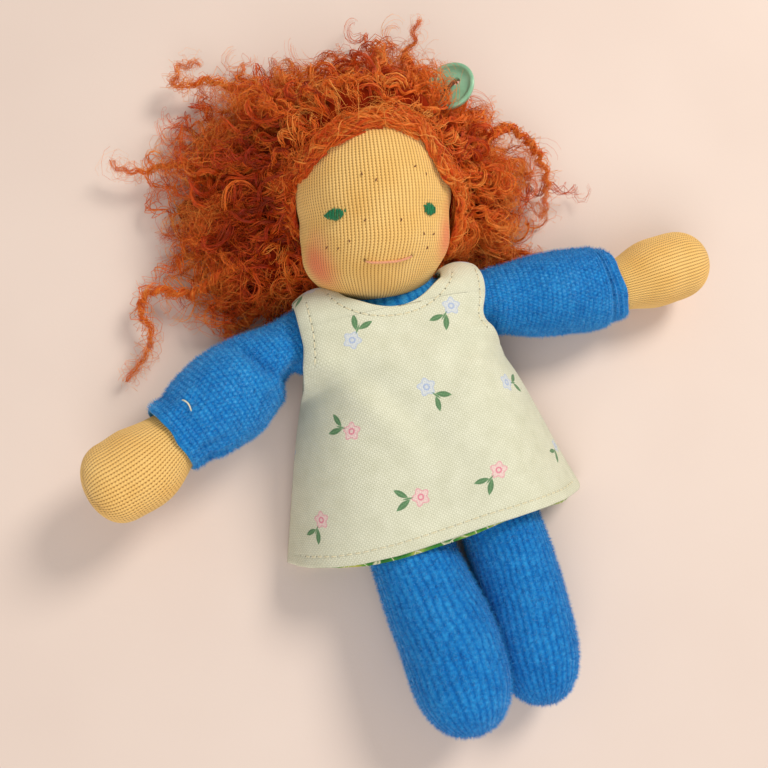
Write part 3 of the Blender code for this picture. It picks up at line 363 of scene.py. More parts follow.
def jersey(name, groove_shade_mix, course_shade_mix, hole_shade_mix):
    """Fine knit: wales along u, courses along v, with the small dark holes between the stitches; the grooves, the dips
    between the courses and the holes are darkened as painted shade.
    """
    m, t, b = shader(name, 0.85, 0.15, 0.3, 0.45, lin(255, 238, 205))
    u, v, _ = split(t, coords(t, "UV"))
    obj = coords(t)
    wob = noise(t, obj, 900, 2) - 0.5
    zig = (v * TAU).f("SINE") * 0.07
    s = (((u + wob * 0.12 + zig).f("FRACT") - 0.5).f("ABSOLUTE")) * 2
    leg = ((v + s * 0.5 + wob * 0.3) * TAU).f("SINE") * 0.5 + 0.5
    groove_shade = step(t, s, 0.45, 1.0)
    hole = step(t, s, 0.55, 0.9) * step(t, leg, 0.6, 0.15)
    height = (1 - s.f("POWER", 2.2)) * (leg * 0.45 + 0.55)
    base = ramp(t, noise(t, obj, 130, 3), [(0.3, lin(245, 197, 114)), (0.7, lin(253, 213, 136))])
    # painted shade: darker in the grooves between the wales, in the dips between the courses and in the holes between
    # the stitches
    c = mixc(t, groove_shade * groove_shade_mix, base, lin(188, 130, 58))
    c = mixc(t, (1 - leg) * course_shade_mix, c, lin(206, 150, 76))
    c = mixc(t, hole * hole_shade_mix, c, lin(150, 98, 40))
    blush = attr(t, "blush")
    # the blush on the cheeks is real colour; its darker tone in the grooves is painted shade
    c = mixc(t, blush, c, mixc(t, groove_shade * 0.5, lin(236, 116, 84), lin(180, 78, 48)))
    # painted shade in the pits: the two ends of the mouth and the crease of the mitt seam
    c = mixc(t, attr(t, "pit_shade"), c, lin(84, 44, 24))
    plug(t, c, b.inputs["Base Color"])
    plug(t, bump(t, height, 0.16, 0.9), b.inputs["Normal"])
    return m


def velour(name="velour"):
    """Cut-pile knit, nubby: painted highlight on the ribs and painted shade in the shallow channels between them."""
    m, t, b = shader(name, 0.92, 0.08, 1.0, 0.36, lin(186, 224, 255))
    obj = coords(t)
    rib_shade = attr(t, "rib_shade")
    pile = noise(t, obj, 1700, 3, 0.65)
    tuft = noise(t, obj, 760, 2, 0.5)
    cloud = noise(t, obj, 150, 3, 0.6)
    # the rib attribute is painted shade: light on the ridges, dark in the channels between them
    tone = rib_shade * 0.52 + (pile - 0.5) * 0.55 + (tuft - 0.5) * 0.35 + (cloud - 0.5) * 0.32 + 0.2
    c = ramp(t, tone, [(0.0, lin(10, 76, 150)), (0.35, lin(22, 116, 192)), (0.65, lin(50, 152, 218)), (1.0, lin(118, 196, 240))])
    plug(t, c, b.inputs["Base Color"])
    plug(t, bump(t, pile * 0.6 + tuft * 0.5 + cloud * 0.15, 0.22, 0.8), b.inputs["Normal"])
    return m


def cotton(print_on=True):
    """Plain weave with a small scattered flower print; u and v are the cloth's own millimetres."""
    m, t, b = shader("cotton" if print_on else "cotton_plain", 0.86, 0.15, 0.15, 0.4, lin(255, 250, 235))
    u, v, _ = split(t, coords(t, "UV"))
    obj = coords(t)
    wob = noise(t, obj, 700, 3) - 0.5
    fx, fy = u * (1 / 0.42) + wob * 0.6, v * (1 / 0.4) + wob * 0.6
    sx, sy = (fx * math.pi).f("SINE"), (fy * math.pi).f("SINE")
    weave = sx * sy * 0.5 + 0.5
    pore = (1 - sx.f("ABSOLUTE")) * (1 - sy.f("ABSOLUTE"))
    base = ramp(t, noise(t, obj, 260, 4, 0.6), [(0.3, lin(220, 221, 198)), (0.7, lin(234, 235, 214))])
    # painted shade in the weave: darker in the pores between the threads and where the threads dip
    c = mixc(t, step(t, pore, 0.2, 0.7) * 0.55, base, lin(140, 140, 108))
    c = mixc(t, (1 - weave) * 0.42, c, lin(182, 183, 152))
    if print_on:
        row = (v * (1 / 16.4) + 0.62).f("FLOOR")
        shifted = u * (1 / 18.5) + row * 0.5 + 0.44
        cell = shifted.f("FLOOR")
        rnd = t.nodes.new("ShaderNodeTexWhiteNoise")
        rnd.noise_dimensions = "2D"
        t.links.new(join(t, cell, row).s, rnd.inputs["Vector"])
        r1, r2, r3 = split(t, Val(t, rnd.outputs["Color"]))
        lx = (shifted - cell - 0.5) * 18.5 - (r2 - 0.5) * 5.0
        ly = ((v * (1 / 16.4) + 0.62) - row - 0.5) * 16.4 - (r3 - 0.5) * 4.0
        ang = r1 * TAU
        ca, sa = ang.f("COSINE"), ang.f("SINE")
        qx, qy = lx * ca + ly * sa + wob * 0.12, ly * ca - lx * sa + wob * 0.12
        fxx, fyy = qx + 2.0, qy - 0.2
        r = (fxx * fxx + fyy * fyy).f("SQRT")
        petal = (fyy.f("ARCTAN2", fxx) * 5).f("COSINE") * 0.28 + 1.62
        flower = step(t, r - petal, 0.14, -0.14)
        rim = step(t, (r - petal).f("ABSOLUTE"), 0.42, 0.1)
        eye = step(t, (r - 0.52).f("ABSOLUTE"), 0.26, 0.08)
        which = step(t, r3 + r1 * 0.6, 0.84, 0.86)
        pale = mixc(t, which, lin(244, 196, 204), lin(206, 216, 236))
        deep = mixc(t, which, lin(222, 112, 142), lin(158, 178, 218))
        c = mixc(t, flower * 0.55, c, pale)
        c = mixc(t, flower * rim * 0.5, c, deep)
        c = mixc(t, flower * eye * 0.75, c, deep)
        for cx, cy, turn, long, wide in ((1.6, 1.2, 0.55, 1.7, 0.6), (1.85, -1.0, -0.6, 1.6, 0.56), (0.55, 0.1, 0.05, 1.15, 0.18)):
            ax, ay = qx - cx, qy - cy
            along_leaf = ax * math.cos(turn) + ay * math.sin(turn)
            across = (ay * math.cos(turn) - ax * math.sin(turn)).f("ABSOLUTE")
            edge = (1 - (along_leaf * (1 / long)).f("POWER", 2.0)) * wide
            leaf = step(t, across - edge, 0.1, -0.1)
            # the leaves are print; weave * 0.2 adds a little painted shade to them where the threads dip
            c = mixc(t, leaf * 0.86, c, mixc(t, step(t, across, 0.16, 0.02) * 0.5 + weave * 0.2, lin(36, 108, 58), lin(92, 152, 98)))
    d, s = attr(t, "seam_d"), attr(t, "seam_s")
    ss = ((s * (1 / 1.75)).f("FRACT") - 0.5) * 1.75
    # painted shade: small dark dots at the needle holes along the seams
    dot = step(t, (ss * ss + d * d).f("SQRT"), 0.24, 0.1)
    c = mixc(t, dot * 0.75, c, lin(104, 94, 62))
    plug(t, c, b.inputs["Base Color"])
    dip = step(t, d.f("ABSOLUTE"), 0.7, 0.0)
    plug(t, bump(t, weave * 0.5 - pore * 0.6 - dot * 1.0 - dip * 0.8, 0.12, 0.8), b.inputs["Normal"])
    return m


def lining():
    """The inside of the dress: a leafy green and yellow print."""
    m, t, b = shader("lining_print", 0.86, 0.15, 0.15)
    obj = coords(t)
    u, v, _ = split(t, coords(t, "UV"))
    sx, sy = (u * (math.pi / 0.54)).f("SINE"), (v * (math.pi / 0.5)).f("SINE")
    warped = noise(t, obj, 160, 2, 0.5, out="Color")
    n = t.nodes.new("ShaderNodeVectorMath")
    n.operation = "MULTIPLY_ADD"
    t.links.new(warped.s, n.inputs[0])
    n.inputs[1].default_value = (0.006, 0.006, 0.006)
    t.links.new(obj.s, n.inputs[2])
    w = Val(t, n.outputs[0])
    leaf = voronoi(t, w, 230, "F1")
    vein = voronoi(t, w, 230, "DISTANCE_TO_EDGE")
    c = ramp(t, leaf, [(0.0, lin(30, 96, 44)), (0.45, lin(62, 136, 56)), (0.62, lin(104, 160, 66)), (0.8, lin(176, 188, 92))])
    c = mixc(t, step(t, vein, 0.05, 0.0), c, lin(226, 224, 190))
    c = mixc(t, step(t, noise(t, obj, 110, 1), 0.66, 0.72), c, lin(228, 196, 58))
    plug(t, c, b.inputs["Base Color"])
    plug(t, bump(t, sx * sy, 0.08, 0.8), b.inputs["Normal"])
    return m


def mohair(name, stops, rough=0.46, spec=0.3):
    m, t, b = shader(name, rough, spec, 0.25, 0.4, lin(255, 150, 60))
    obj = coords(t)
    tone = attr(t, "tint") * 0.66 + attr(t, "tip") * 0.22 + (noise(t, obj, 420, 3, 0.6) - 0.5) * 0.5 + 0.12
    plug(t, ramp(t, tone, stops), b.inputs["Base Color"])
    plug(t, bump(t, noise(t, obj, 3800, 2), 0.04, 0.5), b.inputs["Normal"])
    return m


def thread(name, dark, light, rough=0.5):
    m, t, b = shader(name, rough, 0.4, 0.2, 0.4)
    obj = coords(t)
    fib = noise(t, obj, 5200, 3, 0.6)
    plug(t, ramp(t, fib, [(0.3, dark), (0.7, light)]), b.inputs["Base Color"])
    plug(t, bump(t, fib, 0.05, 0.7), b.inputs["Normal"])
    return m


def plastic(name, dark, light, rough):
    m, t, b = shader(name, rough, 0.5)
    obj = coords(t)
    swirl = noise(t, obj, 160, 4, 0.6, 1.2)
    fine = noise(t, obj, 1800, 2)
    plug(t, ramp(t, swirl, [(0.3, dark), (0.7, light)]), b.inputs["Base Color"])
    plug(t, bump(t, fine, 0.02, 0.4), b.inputs["Normal"])
    b.inputs["Coat Weight"].default_value = 0.25
    b.inputs["Coat Roughness"].default_value = 0.2
    return m


RED = [(0.0, lin(112, 18, 3)), (0.25, lin(178, 46, 6)), (0.5, lin(220, 82, 16)), (0.75, lin(242, 122, 36)), (1.0, lin(255, 178, 86))]
mat_skin, mat_hand = jersey("jersey_face", 0.64, 0.22, 0.8), jersey("jersey_hand", 0.5, 0.2, 0.9)
mat_velour, mat_dress, mat_lining = velour(), cotton(), lining()
mat_hair = mohair("mohair", RED)
# painted shade: the wool under the locks is coloured dark, as the shaded inside of the hair mass
mat_under_shade = mohair("mohair_under_shade", [(0.0, lin(84, 12, 2)), (0.5, lin(138, 34, 4)), (1.0, lin(190, 62, 10))], 0.9, 0.08)
mat_green = thread("thread_green", lin(2, 76, 44), lin(14, 146, 92), 0.45)
mat_pink = thread("thread_pink", lin(220, 146, 108), lin(244, 180, 142))
mat_cream = thread("thread_cream", lin(226, 214, 176), lin(246, 238, 208))
mat_brown = thread("thread_brown", lin(92, 46, 18), lin(138, 78, 34), 0.6)
mat_mint = plastic("button_mint", lin(122, 178, 140), lin(158, 208, 172), 0.3)
mat_shell = plastic("button_white", lin(226, 222, 206), lin(244, 240, 228), 0.25)

# ------------------------------------------------------------------ head axes
turn = Matrix.Rotation(math.radians(HEAD_ROLL), 3, "Z") @ Matrix.Rotation(math.radians(HEAD_PITCH), 3, "X")
RIGHT, UP, OUT = (np.array(turn.col[i]) for i in range(3))
AXES = np.stack([RIGHT, UP, OUT])
HC = np.array(HEAD_C)
NECK = HC - UP * NECK_DROP


def to_doll(p):
    return HC + np.asarray(p, float) @ AXES


def to_head(p):
    return (np.asarray(p, float) - HC) @ AXES.T


def head_surface(theta, t):
    """The head skin, without its ribs: theta round from the face, t from the crown to the neck.  Head axes."""
    a, b, c = HEAD_R
    u = np.cos(t)
    n = 2.1 + 0.55 * smooth(-u, 0.0, 0.6)
    ring = np.maximum(0, 1 - np.abs(u) ** n) ** (1 / n)
    ring = np.where(ring < 0.25, np.minimum(ring, np.sin(t) * 1.35), ring)
    spread = np.clip(np.maximum(ring, 0.3) ** -0.62 - 1, 0, 1.4)
    s = np.sin(theta)
    h = s * (1 + spread) / (1 + spread * s * s)
    cz = np.sign(np.cos(theta)) * np.sqrt(np.maximum(0, 1 - h * h))
    cz = np.where(np.abs(np.cos(theta)) < 1e-9, 0, cz)
    side = np.abs(h)
    dent = 0.45 * bell(b * u, EYE_U + 0.2, 2.2) * (0.35 + 0.65 * side)
    cheek = 0.35 * bell(b * u, -10.5, 5) * side
    w = b * u
    plus = 0.6 + 0.8 * bell(w, -7, 5)
    trim = np.where(h > 0, plus * np.minimum(1, np.abs(h) * 1.6), 0.6 * smooth(w, 6, 12) * np.minimum(1, np.abs(h) * 1.6)) * smooth(ring, 0.1, 0.5)
    x = (a * ring - dent + cheek - trim) * h - 1.2 * smooth(-w, 7, 15) * smooth(ring, 0.0, 0.4)
    z = (c * ring - dent * 0.6) * cz
    z = z * (1 + 0.03 * bell(b * u, -9, 5) * (cz > 0))
    return np.stack([x, b * u + 0 * theta, z], -1)


def on_face(x, u, lift=0.0):
    """A point of the face by its place across and up, lifted off the skin; arrays are welcome."""
    x, u = np.broadcast_arrays(np.asarray(x, float), np.asarray(u, float))
    t = np.arccos(np.clip(u / HEAD_R[1], -1, 1))
    lo, hi = np.full(x.shape, -math.pi / 2), np.full(x.shape, math.pi / 2)
    for _ in range(40):
        mid = (lo + hi) / 2
        less = head_surface(mid, t)[..., 0] < x
        lo, hi = np.where(less, mid, lo), np.where(less, hi, mid)
    p = head_surface((lo + hi) / 2, t)
    e = 0.01
    du = head_surface((lo + hi) / 2 + e, t) - head_surface((lo + hi) / 2 - e, t)
    dv = head_surface((lo + hi) / 2, t - e) - head_surface((lo + hi) / 2, t + e)
    return p + unit(np.cross(du, dv)) * lift


# ------------------------------------------------------------------ head skin
WALES, SUB = 136, 5
cols = WALES * SUB
ts = np.concatenate([[0.02, 0.06, 0.11], np.linspace(0.17, math.pi - 0.17, 138), [math.pi - 0.11, math.pi - 0.06, math.pi - 0.02]])
th = np.linspace(0, TAU, cols, endpoint=False)
T, TH = np.meshgrid(ts, th, indexing="ij")
P = head_surface(TH, T)
e = 0.004
n1 = np.cross(head_surface(TH + e, T) - head_surface(TH - e, T), head_surface(TH, T - e) - head_surface(TH, T + e))
N = unit(n1)
wale = TH / TAU * WALES
sw = np.abs((wale % 1) - 0.5) * 2
fade = smooth(np.sin(T), 0.12, 0.4)
amp = 0.11 * fade
P = P + N * (amp * (np.sqrt(np.maximum(0, 1 - sw ** 2.4)) - 0.6) + 0.12 * ripple(P, 5, 9))[..., None]
u_mm = np.concatenate([[0], np.cumsum(np.linalg.norm(np.diff(head_surface(np.zeros(len(ts)), ts), axis=0), axis=1))])
UVh = np.stack([np.broadcast_to(np.linspace(0, WALES, cols + 1), (len(ts), cols + 1)), np.broadcast_to((u_mm / 0.56)[:, None], (len(ts), cols + 1))], -1)
quads, pick = grid(len(ts), cols, True)
quv = UVh[pick]
top, low = len(ts) * cols, len(ts) * cols + 1
k = np.arange(cols)
caps = np.concatenate([np.stack([np.full(cols, top), (k + 1) % cols, k], 1),
                       np.stack([np.full(cols, low), (len(ts) - 1) * cols + k, (len(ts) - 1) * cols + (k + 1) % cols], 1)])
verts = np.vstack([P.reshape(-1, 3), [[0, HEAD_R[1], 0]], [[0, -HEAD_R[1], 0]]])


def near(points, spots):
    out = np.zeros(len(points))
    for (x, u, w), r, amount in spots:
        d = np.linalg.norm(points - np.array((x, u, w)), axis=1)
        out = np.maximum(out, amount * (1 - smooth(d, r * 0.15, r)))
    return out


blush = near(verts, [((-12.2, -11.6, 6.8), 7.2, 0.86), ((-12.6, -8.4, 8.4), 5.4, 0.35), ((12.6, -8.6, 7.2), 7.0, 0.75), ((13.2, -3.5, 6.5), 5.5, 0.3)])
# painted shade in the small pits at the mouth's two ends, where the thread goes into the knit
pit_shade = near(verts, [(tuple(on_face(-5.1, -12.0)), 0.55, 0.9), (tuple(on_face(4.3, -11.9)), 0.5, 0.8)])
head = make("head_jersey", to_doll(verts), [quads, caps], mat_skin, [quv, np.zeros((len(caps), 3, 2))], {"blush": blush, "pit_shade": pit_shade})
outward(head)
put(head, "head", "skin", "head_skin", "head_core", "eye_line_thread")


# ------------------------------------------------------------------ strands
def carried(lines):
    """Directions along and across many lines at once, carried on without twist.  lines: strands x points x 3."""
    t = unit(np.gradient(lines, axis=1))
    a = np.cross(t[:, 0], np.array((0.31, 0.17, 0.93)))
    a = unit(a)
    A = np.zeros_like(t)
    for i in range(lines.shape[1]):
        a = a - t[:, i] * np.sum(a * t[:, i], axis=1, keepdims=True)
        a = a / np.maximum(1e-9, np.linalg.norm(a, axis=1, keepdims=True))
        A[:, i] = a
    return t, A, np.cross(t, A)


def tubes(lines, radii, sides=3):
    """Closed tubes round many lines; radii: strands x points.  Returns verts, quads, tris."""
    S, m, _ = lines.shape
    _, A, B = carried(lines)
    ang = np.arange(sides) / sides * TAU
    v = lines[:, :, None] + radii[:, :, None, None] * (A[:, :, None] * np.cos(ang)[:, None] + B[:, :, None] * np.sin(ang)[:, None])
    base = (np.arange(S) * m * sides)[:, None, None]
    i, k = np.meshgrid(np.arange(m - 1), np.arange(sides), indexing="ij")
    k2 = (k + 1) % sides
    q = np.stack([i * sides + k, i * sides + k2, (i + 1) * sides + k2, (i + 1) * sides + k], -1).reshape(1, -1, 4) + base
    end = []
    for j in range(1, sides - 1):
        end.append([0, j + 1, j])
        end.append([(m - 1) * sides, (m - 1) * sides + j, (m - 1) * sides + j + 1])
    tri = np.array(end).reshape(1, -1, 3) + base
    return v.reshape(-1, 3), q.reshape(-1, 4), tri.reshape(-1, 3)


def thread_piece(name, lines, radius, mat, sides=6, taper=0.35):
    """Lines of one length, made into closed threads with thinner ends."""
    lines = np.asarray(lines, float)
    m = lines.shape[1]
    f = np.minimum(1, (0.5 - np.abs(np.linspace(-0.5, 0.5, m))) / 0.12 * (1 - taper) + taper)
    rad = np.broadcast_to(f * radius, lines.shape[:2]) if np.isscalar(radius) else f[None] * np.asarray(radius)[:, None]
    v, q, tri = tubes(lines, rad, sides)
    return outward(make(name, v, [q, tri], mat))


# eyes: upright satin stitches side by side
def satin(name, x0, u0, half_w, half_h, count, power, lean, seed, strays):
    g = np.random.default_rng(seed)
    lines = []
    for i in range(count):
        f = (i + 0.5) / count * 2 - 1
        h = half_h * (1 - abs(f) ** power) ** (1 / power) * g.uniform(0.9, 1.08) + 0.18
        x = x0 + f * half_w + g.uniform(-0.04, 0.04)
        u = np.linspace(-h, h, 13)
        up = u0 + u + lean * f + g.uniform(-0.1, 0.1)
        lift = 0.14 + 0.22 * np.sqrt(np.maximum(0, 1 - (u / (h * 1.02)) ** 2)) + (0.07 if i % 2 else 0)
        lines.append(np.stack([on_face(np.full(13, x) + 0.08 * np.sin(u * 1.3 + i), up, 0)[j] + (on_face(x, up[j], 1.0) - on_face(x, up[j], 0.0)) * lift[j] for j in range(13)]))
    for dx, du, h in strays:
        u = np.linspace(-h, h, 13)
        lines.append(on_face(np.full(13, x0 + dx), u0 + du + u, 0.2))
    o = thread_piece(name, to_doll(np.array(lines)), 0.18, mat_green)
    return o


eye_r = satin("eye_stitches_right", -9.8, -2.8, 1.65, 1.05, 11, 1.6, 0.05, 3, ((1.85, 0.5, 0.28), (-1.85, 0.05, 0.22)))
put(eye_r, "head", "eyes", "eye_right")
eye_l = satin("eye_stitches_left", 8.45, -3.3, 1.1, 1.12, 8, 1.9, -0.05, 4, ((-1.1, 0.75, 0.2), (1.1, -0.5, 0.2)))
put(eye_l, "head", "eyes", "eye_left")

mx = np.linspace(-5.0, 4.2, 60)
mu = np.interp(mx, (-5.0, -4.2, -2.0, 1.0, 2.9, 4.2), (-12.15, -12.5, -12.68, -12.72, -12.4, -11.95))
mu = np.convolve(np.pad(mu, 5, mode="edge"), np.ones(11) / 11, mode="valid")
ply = []
for ph in (0.0, math.pi):
    a = mx * 5.2 + ph
    ply.append(to_doll(np.stack([on_face(mx[i], mu[i] + 0.1 * math.cos(a[i]), 0.2 + 0.1 * math.sin(a[i])) for i in range(len(mx))])))
ply = np.array(ply)
ply[:, 0] = to_doll(on_face(-5.05, -12.1, -0.3))
ply[:, -1] = to_doll(on_face(4.3, -11.9, -0.3))
mouth = thread_piece("mouth_stitch", ply, 0.155, mat_pink, 6)
put(mouth, "head", "mouth", "mouth_thread")

FRECKLES = ((-1.8, 2.8), (-4.3, 4.2), (6.2, 5.0), (8.4, 3.5), (2.4, -5.0), (-4.5, -4.5), (-7.7, -8.1), (-11.9, -8.9), (-9.8, -9.3), (6.9, -7.9), (9.2, -8.0), (7.6, -10.6))
fl = []
for i, (x, u) in enumerate(FRECKLES):
    a = 1.2 + 0.7 * math.sin(i * 2.3)
    q = np.linspace(-0.26, 0.26, 7)
    fl.append(to_doll(np.stack([on_face(x + math.cos(a) * d, u + math.sin(a) * d, 0.12 - 1.5 * d * d) for d in q])))
freckles = thread_piece("freckle_stitches", np.array(fl), 0.14, mat_brown, 6, 0.6)
put(freckles, "head", "thread")


# ------------------------------------------------------------------ limbs
def profile(path, radii, end_round, per=60, blunt=(2.4, 2.0)):
    """The limb's line, radius and running length, finely."""
    swell = list(radii[:-1]) + [radii[-2]] if end_round else radii
    pr = catmull(np.column_stack([np.array(path, float), np.array(swell, float)]), per)
    if end_round:
        k = per * (len(path) - 2)
        head_part = pr[:k + 1]
        t = np.linspace(0, 1, 200)[1:]
        seg = head_part[-1, :3] + (np.array(path[-1], float) - head_part[-1, :3]) * t[:, None]
        r = head_part[-1, 3] * np.maximum(0, 1 - t ** blunt[0]) ** (1 / blunt[1])
        pr = np.vstack([head_part, np.column_stack([seg, r])])
    return pr, along(pr)


def limb(path, radii, root, end_round, pitch, cols, first=None, end_rows=24, blunt=(2.4, 2.0)):
    """Rows of a limb: s, centre, radius, and the directions across it."""
    pr, s = profile(path, radii, end_round, blunt=blunt)
    L = s[-1]
    rows = []
    if root:
        rows += list(-root * np.cos(np.linspace(0.12, math.pi / 2, 26))[:-1])
    start = 0 if first is None else first
    if end_round:
        sk = np.linalg.norm(np.array(path[-1], float) - np.array(path[-2], float))
        mid = L - sk * 0.55
        rows += list(np.arange(start, mid, pitch))
        tail = np.sin(np.linspace(0, math.pi / 2, end_rows + int(sk * 0.55 / pitch)))
        rows += list(mid + (L - mid) * tail * 0.9995)[1:]
    else:
        rows += list(np.arange(start, L, pitch)) + [L]
    rows = np.array(sorted(set(np.round(rows, 5))))
    c = at(pr, s, np.clip(rows, 0, L))
    d0 = unit(pr[3, :3] - pr[0, :3])
    centre, rad = c[:, :3].copy(), c[:, 3].copy()
    neg = rows < 0
    centre[neg] = pr[0, :3] + d0 * rows[neg][:, None]
    if root:
        rad[neg] = np.sqrt(np.maximum(0.01, root ** 2 - rows[neg] ** 2))
    line = centre
    t = unit(np.gradient(at(pr, s, np.clip(np.arange(-2, L + 2, 0.5), 0, L))[:, :3] + d0 * np.minimum(0, np.arange(-2, L + 2, 0.5))[:, None]
                         + unit(pr[-1, :3] - pr[-3, :3]) * np.maximum(0, np.arange(-2, L + 2, 0.5) - L)[:, None], axis=0))
    tt = np.stack([np.interp(rows, np.arange(-2, L + 2, 0.5), t[:, i]) for i in range(3)], 1)
    tt = unit(tt)
    a = unit(np.cross((0, 0, 1), tt))
    b = np.cross(tt, a)
    ang = np.linspace(0, TAU, cols, endpoint=False)
    return rows, centre, rad, a, b, ang, L


def skin_rows(centre, a, b, R, ang, squash=1.0):
    """Points of rows x cols from radii R (rows x cols)."""
    return centre[:, None] + R[..., None] * (a[:, None] * np.cos(ang)[None, :, None] + b[:, None] * np.sin(ang)[None, :, None] * squash)


def capped(name, P, mat, uvgrid, attrs, tip=None):
    rows, cols = P.shape[:2]
    q, pick = grid(rows, cols, True)
    k = np.arange(cols)
    first, last = rows * cols, rows * cols + 1
    tri = np.concatenate([np.stack([np.full(cols, first), (k + 1) % cols, k], 1),
                          np.stack([np.full(cols, last), (rows - 1) * cols + k, (rows - 1) * cols + (k + 1) % cols], 1)])
    v = np.vstack([P.reshape(-1, 3), P[0].mean(0)[None], (P[-1].mean(0) if tip is None else np.asarray(tip))[None]])
    at_ = {key: np.concatenate([val.ravel(), [val[0].mean(), val[-1].mean()]]) for key, val in attrs.items()}
    o = make(name, v, [q, tri], mat, [uvgrid[pick], np.zeros((len(tri), 3, 2))], at_)
    return outward(o)


def fuzz(name, P, tone, count, length, body, seed, rows=None, lean=None, mat=None, width=0.045):
    """Short loose pile on a surface of rows x cols points: small closed spikes."""
    g = np.random.default_rng(seed)
    R, C = P.shape[:2]
    q, _ = grid(R, C, True)
    if rows is not None:
        keep = (q[:, 0] // C >= rows[0]) & (q[:, 0] // C < rows[1])
        q = q[keep]
    v = P.reshape(-1, 3)
    nrm = np.cross(v[q[:, 2]] - v[q[:, 0]], v[q[:, 3]] - v[q[:, 1]])
    area = np.linalg.norm(nrm, axis=1)
    sign = 1.0
    cen = v.reshape(R, C, 3).mean(1)[q[:, 0] // C]
    if np.mean(np.sum(nrm * (v[q[:, 0]] - cen), axis=1)) < 0:
        sign = -1.0
    tone = np.asarray(tone, float).ravel()
    area = area * (0.15 + np.clip(tone[q[:, 0]], 0, 1.2)) ** 1.6
    pick_ = g.choice(len(q), count, p=area / area.sum())
    f1, f2 = g.random((count, 1)), g.random((count, 1))
    qq = q[pick_]
    base = (v[qq[:, 0]] * (1 - f1) + v[qq[:, 1]] * f1) * (1 - f2) + (v[qq[:, 3]] * (1 - f1) + v[qq[:, 2]] * f1) * f2
    n = unit(nrm[pick_]) * sign
    d = n + g.normal(size=(count, 3)) * 0.55
    if lean is not None:
        d = d + np.array(lean) * 0.5
    d = unit(d)
    d = np.where(np.sum(d * n, axis=1, keepdims=True) < 0.1, unit(d + n), d)
    ln = length * g.uniform(0.5, 1.25, (count, 1))
    a = unit(np.cross(d, g.normal(size=(count, 3))))
    b = np.cross(d, a)
    d[:, 2] = np.maximum(d[:, 2], (0.02 + width - base[:, 2]) / ln[:, 0])
    root = base - n * 0.06
    ring = [root + width * (a * math.cos(x) + b * math.sin(x)) for x in (0, TAU / 3, 2 * TAU / 3)]
    pts = np.stack(ring + [base + d * ln], 1).reshape(-1, 3)
    i0 = np.arange(count) * 4
    tri = np.concatenate([np.stack([i0 + x, i0 + y, i0 + z], 1) for x, y, z in ((0, 2, 1), (0, 1, 3), (1, 2, 3), (2, 0, 3))])
    # painted shade and sheen: each fibre takes the painted rib shade of the surface under it, lifted lighter at random
    # as a painted sheen on the loose pile
    rib_shade = np.repeat(tone[qq[:, 0]] * 0.8 + g.uniform(0.1, 0.55, count), 4)
    o = make(name, pts, [tri], mat or mat_velour, None, {"rib_shade": rib_shade}, flat=True)
    outward(o)
    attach(o, body)
    return o


def rib_profile(x):
    """Rounded ridges with narrow channels; x counts ridges.  0 in a channel, 1 on a ridge."""
    return np.abs(np.cos(math.pi * x)) ** 0.75


def sleeve(side, path, radii, body, folds, nodes, seed, ringpitch, post):
    cols = 340
    rows, cen, rad, a, b, ang, L = limb(path, radii, radii[0], False, 0.19, cols)
    S, A = np.meshgrid(rows, ang, indexing="ij")
    R = np.repeat(rad[:, None], cols, 1)
    P0 = skin_rows(cen, a, b, R, ang)
    lump = ripple(P0, seed, 13)
    R = R + folds(S, A, L) + 0.15 * lump
    wob = 0.14 * ripple(P0, seed + 1, 9)
    ribs = rib_profile((S + wob) / ringpitch)
    count = 68
    tuft = 0.5 + 0.5 * np.cos(A * count + math.pi * np.floor((S + wob) / ringpitch + 0.5) + 1.2 * ripple(P0, seed + 2, 9))
    h = (0.15 + 0.85 * ribs) * (0.4 + 0.6 * tuft) + 0.13 * ripple(P0, seed + 3, 1.7, 12)
    fade = smooth(S, -5, -1)
    R = R + fade * (0.2 * h - 0.12)
    P = skin_rows(cen, a, b, R, ang)
    # the cuff's turned edge and the inside of the cuff
    d = unit(cen[-1] - cen[-4])
    rim, rimr = [], []
    for q in np.linspace(0.2, math.pi, 8):
        rim.append(cen[-1] + d * 0.42 * math.sin(q))
        rimr.append(R[-1] - 0.42 * (1 - math.cos(q)))
    for back in np.arange(0.3, 6.0, 0.5):
        rim.append(cen[-1] - d * back)
        rimr.append(R[-1] * 0 + max(4.6, R[-1].mean() - 0.84 - 0.25 * back))
    rim, rimr = np.array(rim), np.array(rimr)
    P = np.concatenate([P, skin_rows(rim, np.repeat(a[-1:], len(rim), 0), np.repeat(b[-1:], len(rim), 0), rimr, ang)])
    P = post(P, np.concatenate([S, np.full((len(rim), cols), L)]), np.concatenate([A, np.repeat(A[:1], len(rim), 0)]), L, d)
    # painted shade: the tone follows the rib height, light on the ridges and dark in the channels
    tone = np.concatenate([fade * h + (1 - fade) * 0.5, np.full((len(rim), cols), 0.45)])
    tone = tone * 0.8 + 0.12
    uvg = np.stack([np.broadcast_to(np.linspace(0, 1, cols + 1), (len(P), cols + 1)), np.broadcast_to(np.arange(len(P))[:, None] * 0.01, (len(P), cols + 1))], -1)
    o = capped("sleeve_pile_" + side, P, mat_velour, uvg, {"rib_shade": tone})
    put(o, body, "velour", *nodes)
    fuzz("sleeve_fuzz_" + side, P, tone, 26000, 0.9, body, seed + 9, rows=(20, len(rows)))
    return P, rows, cen, a, b, R


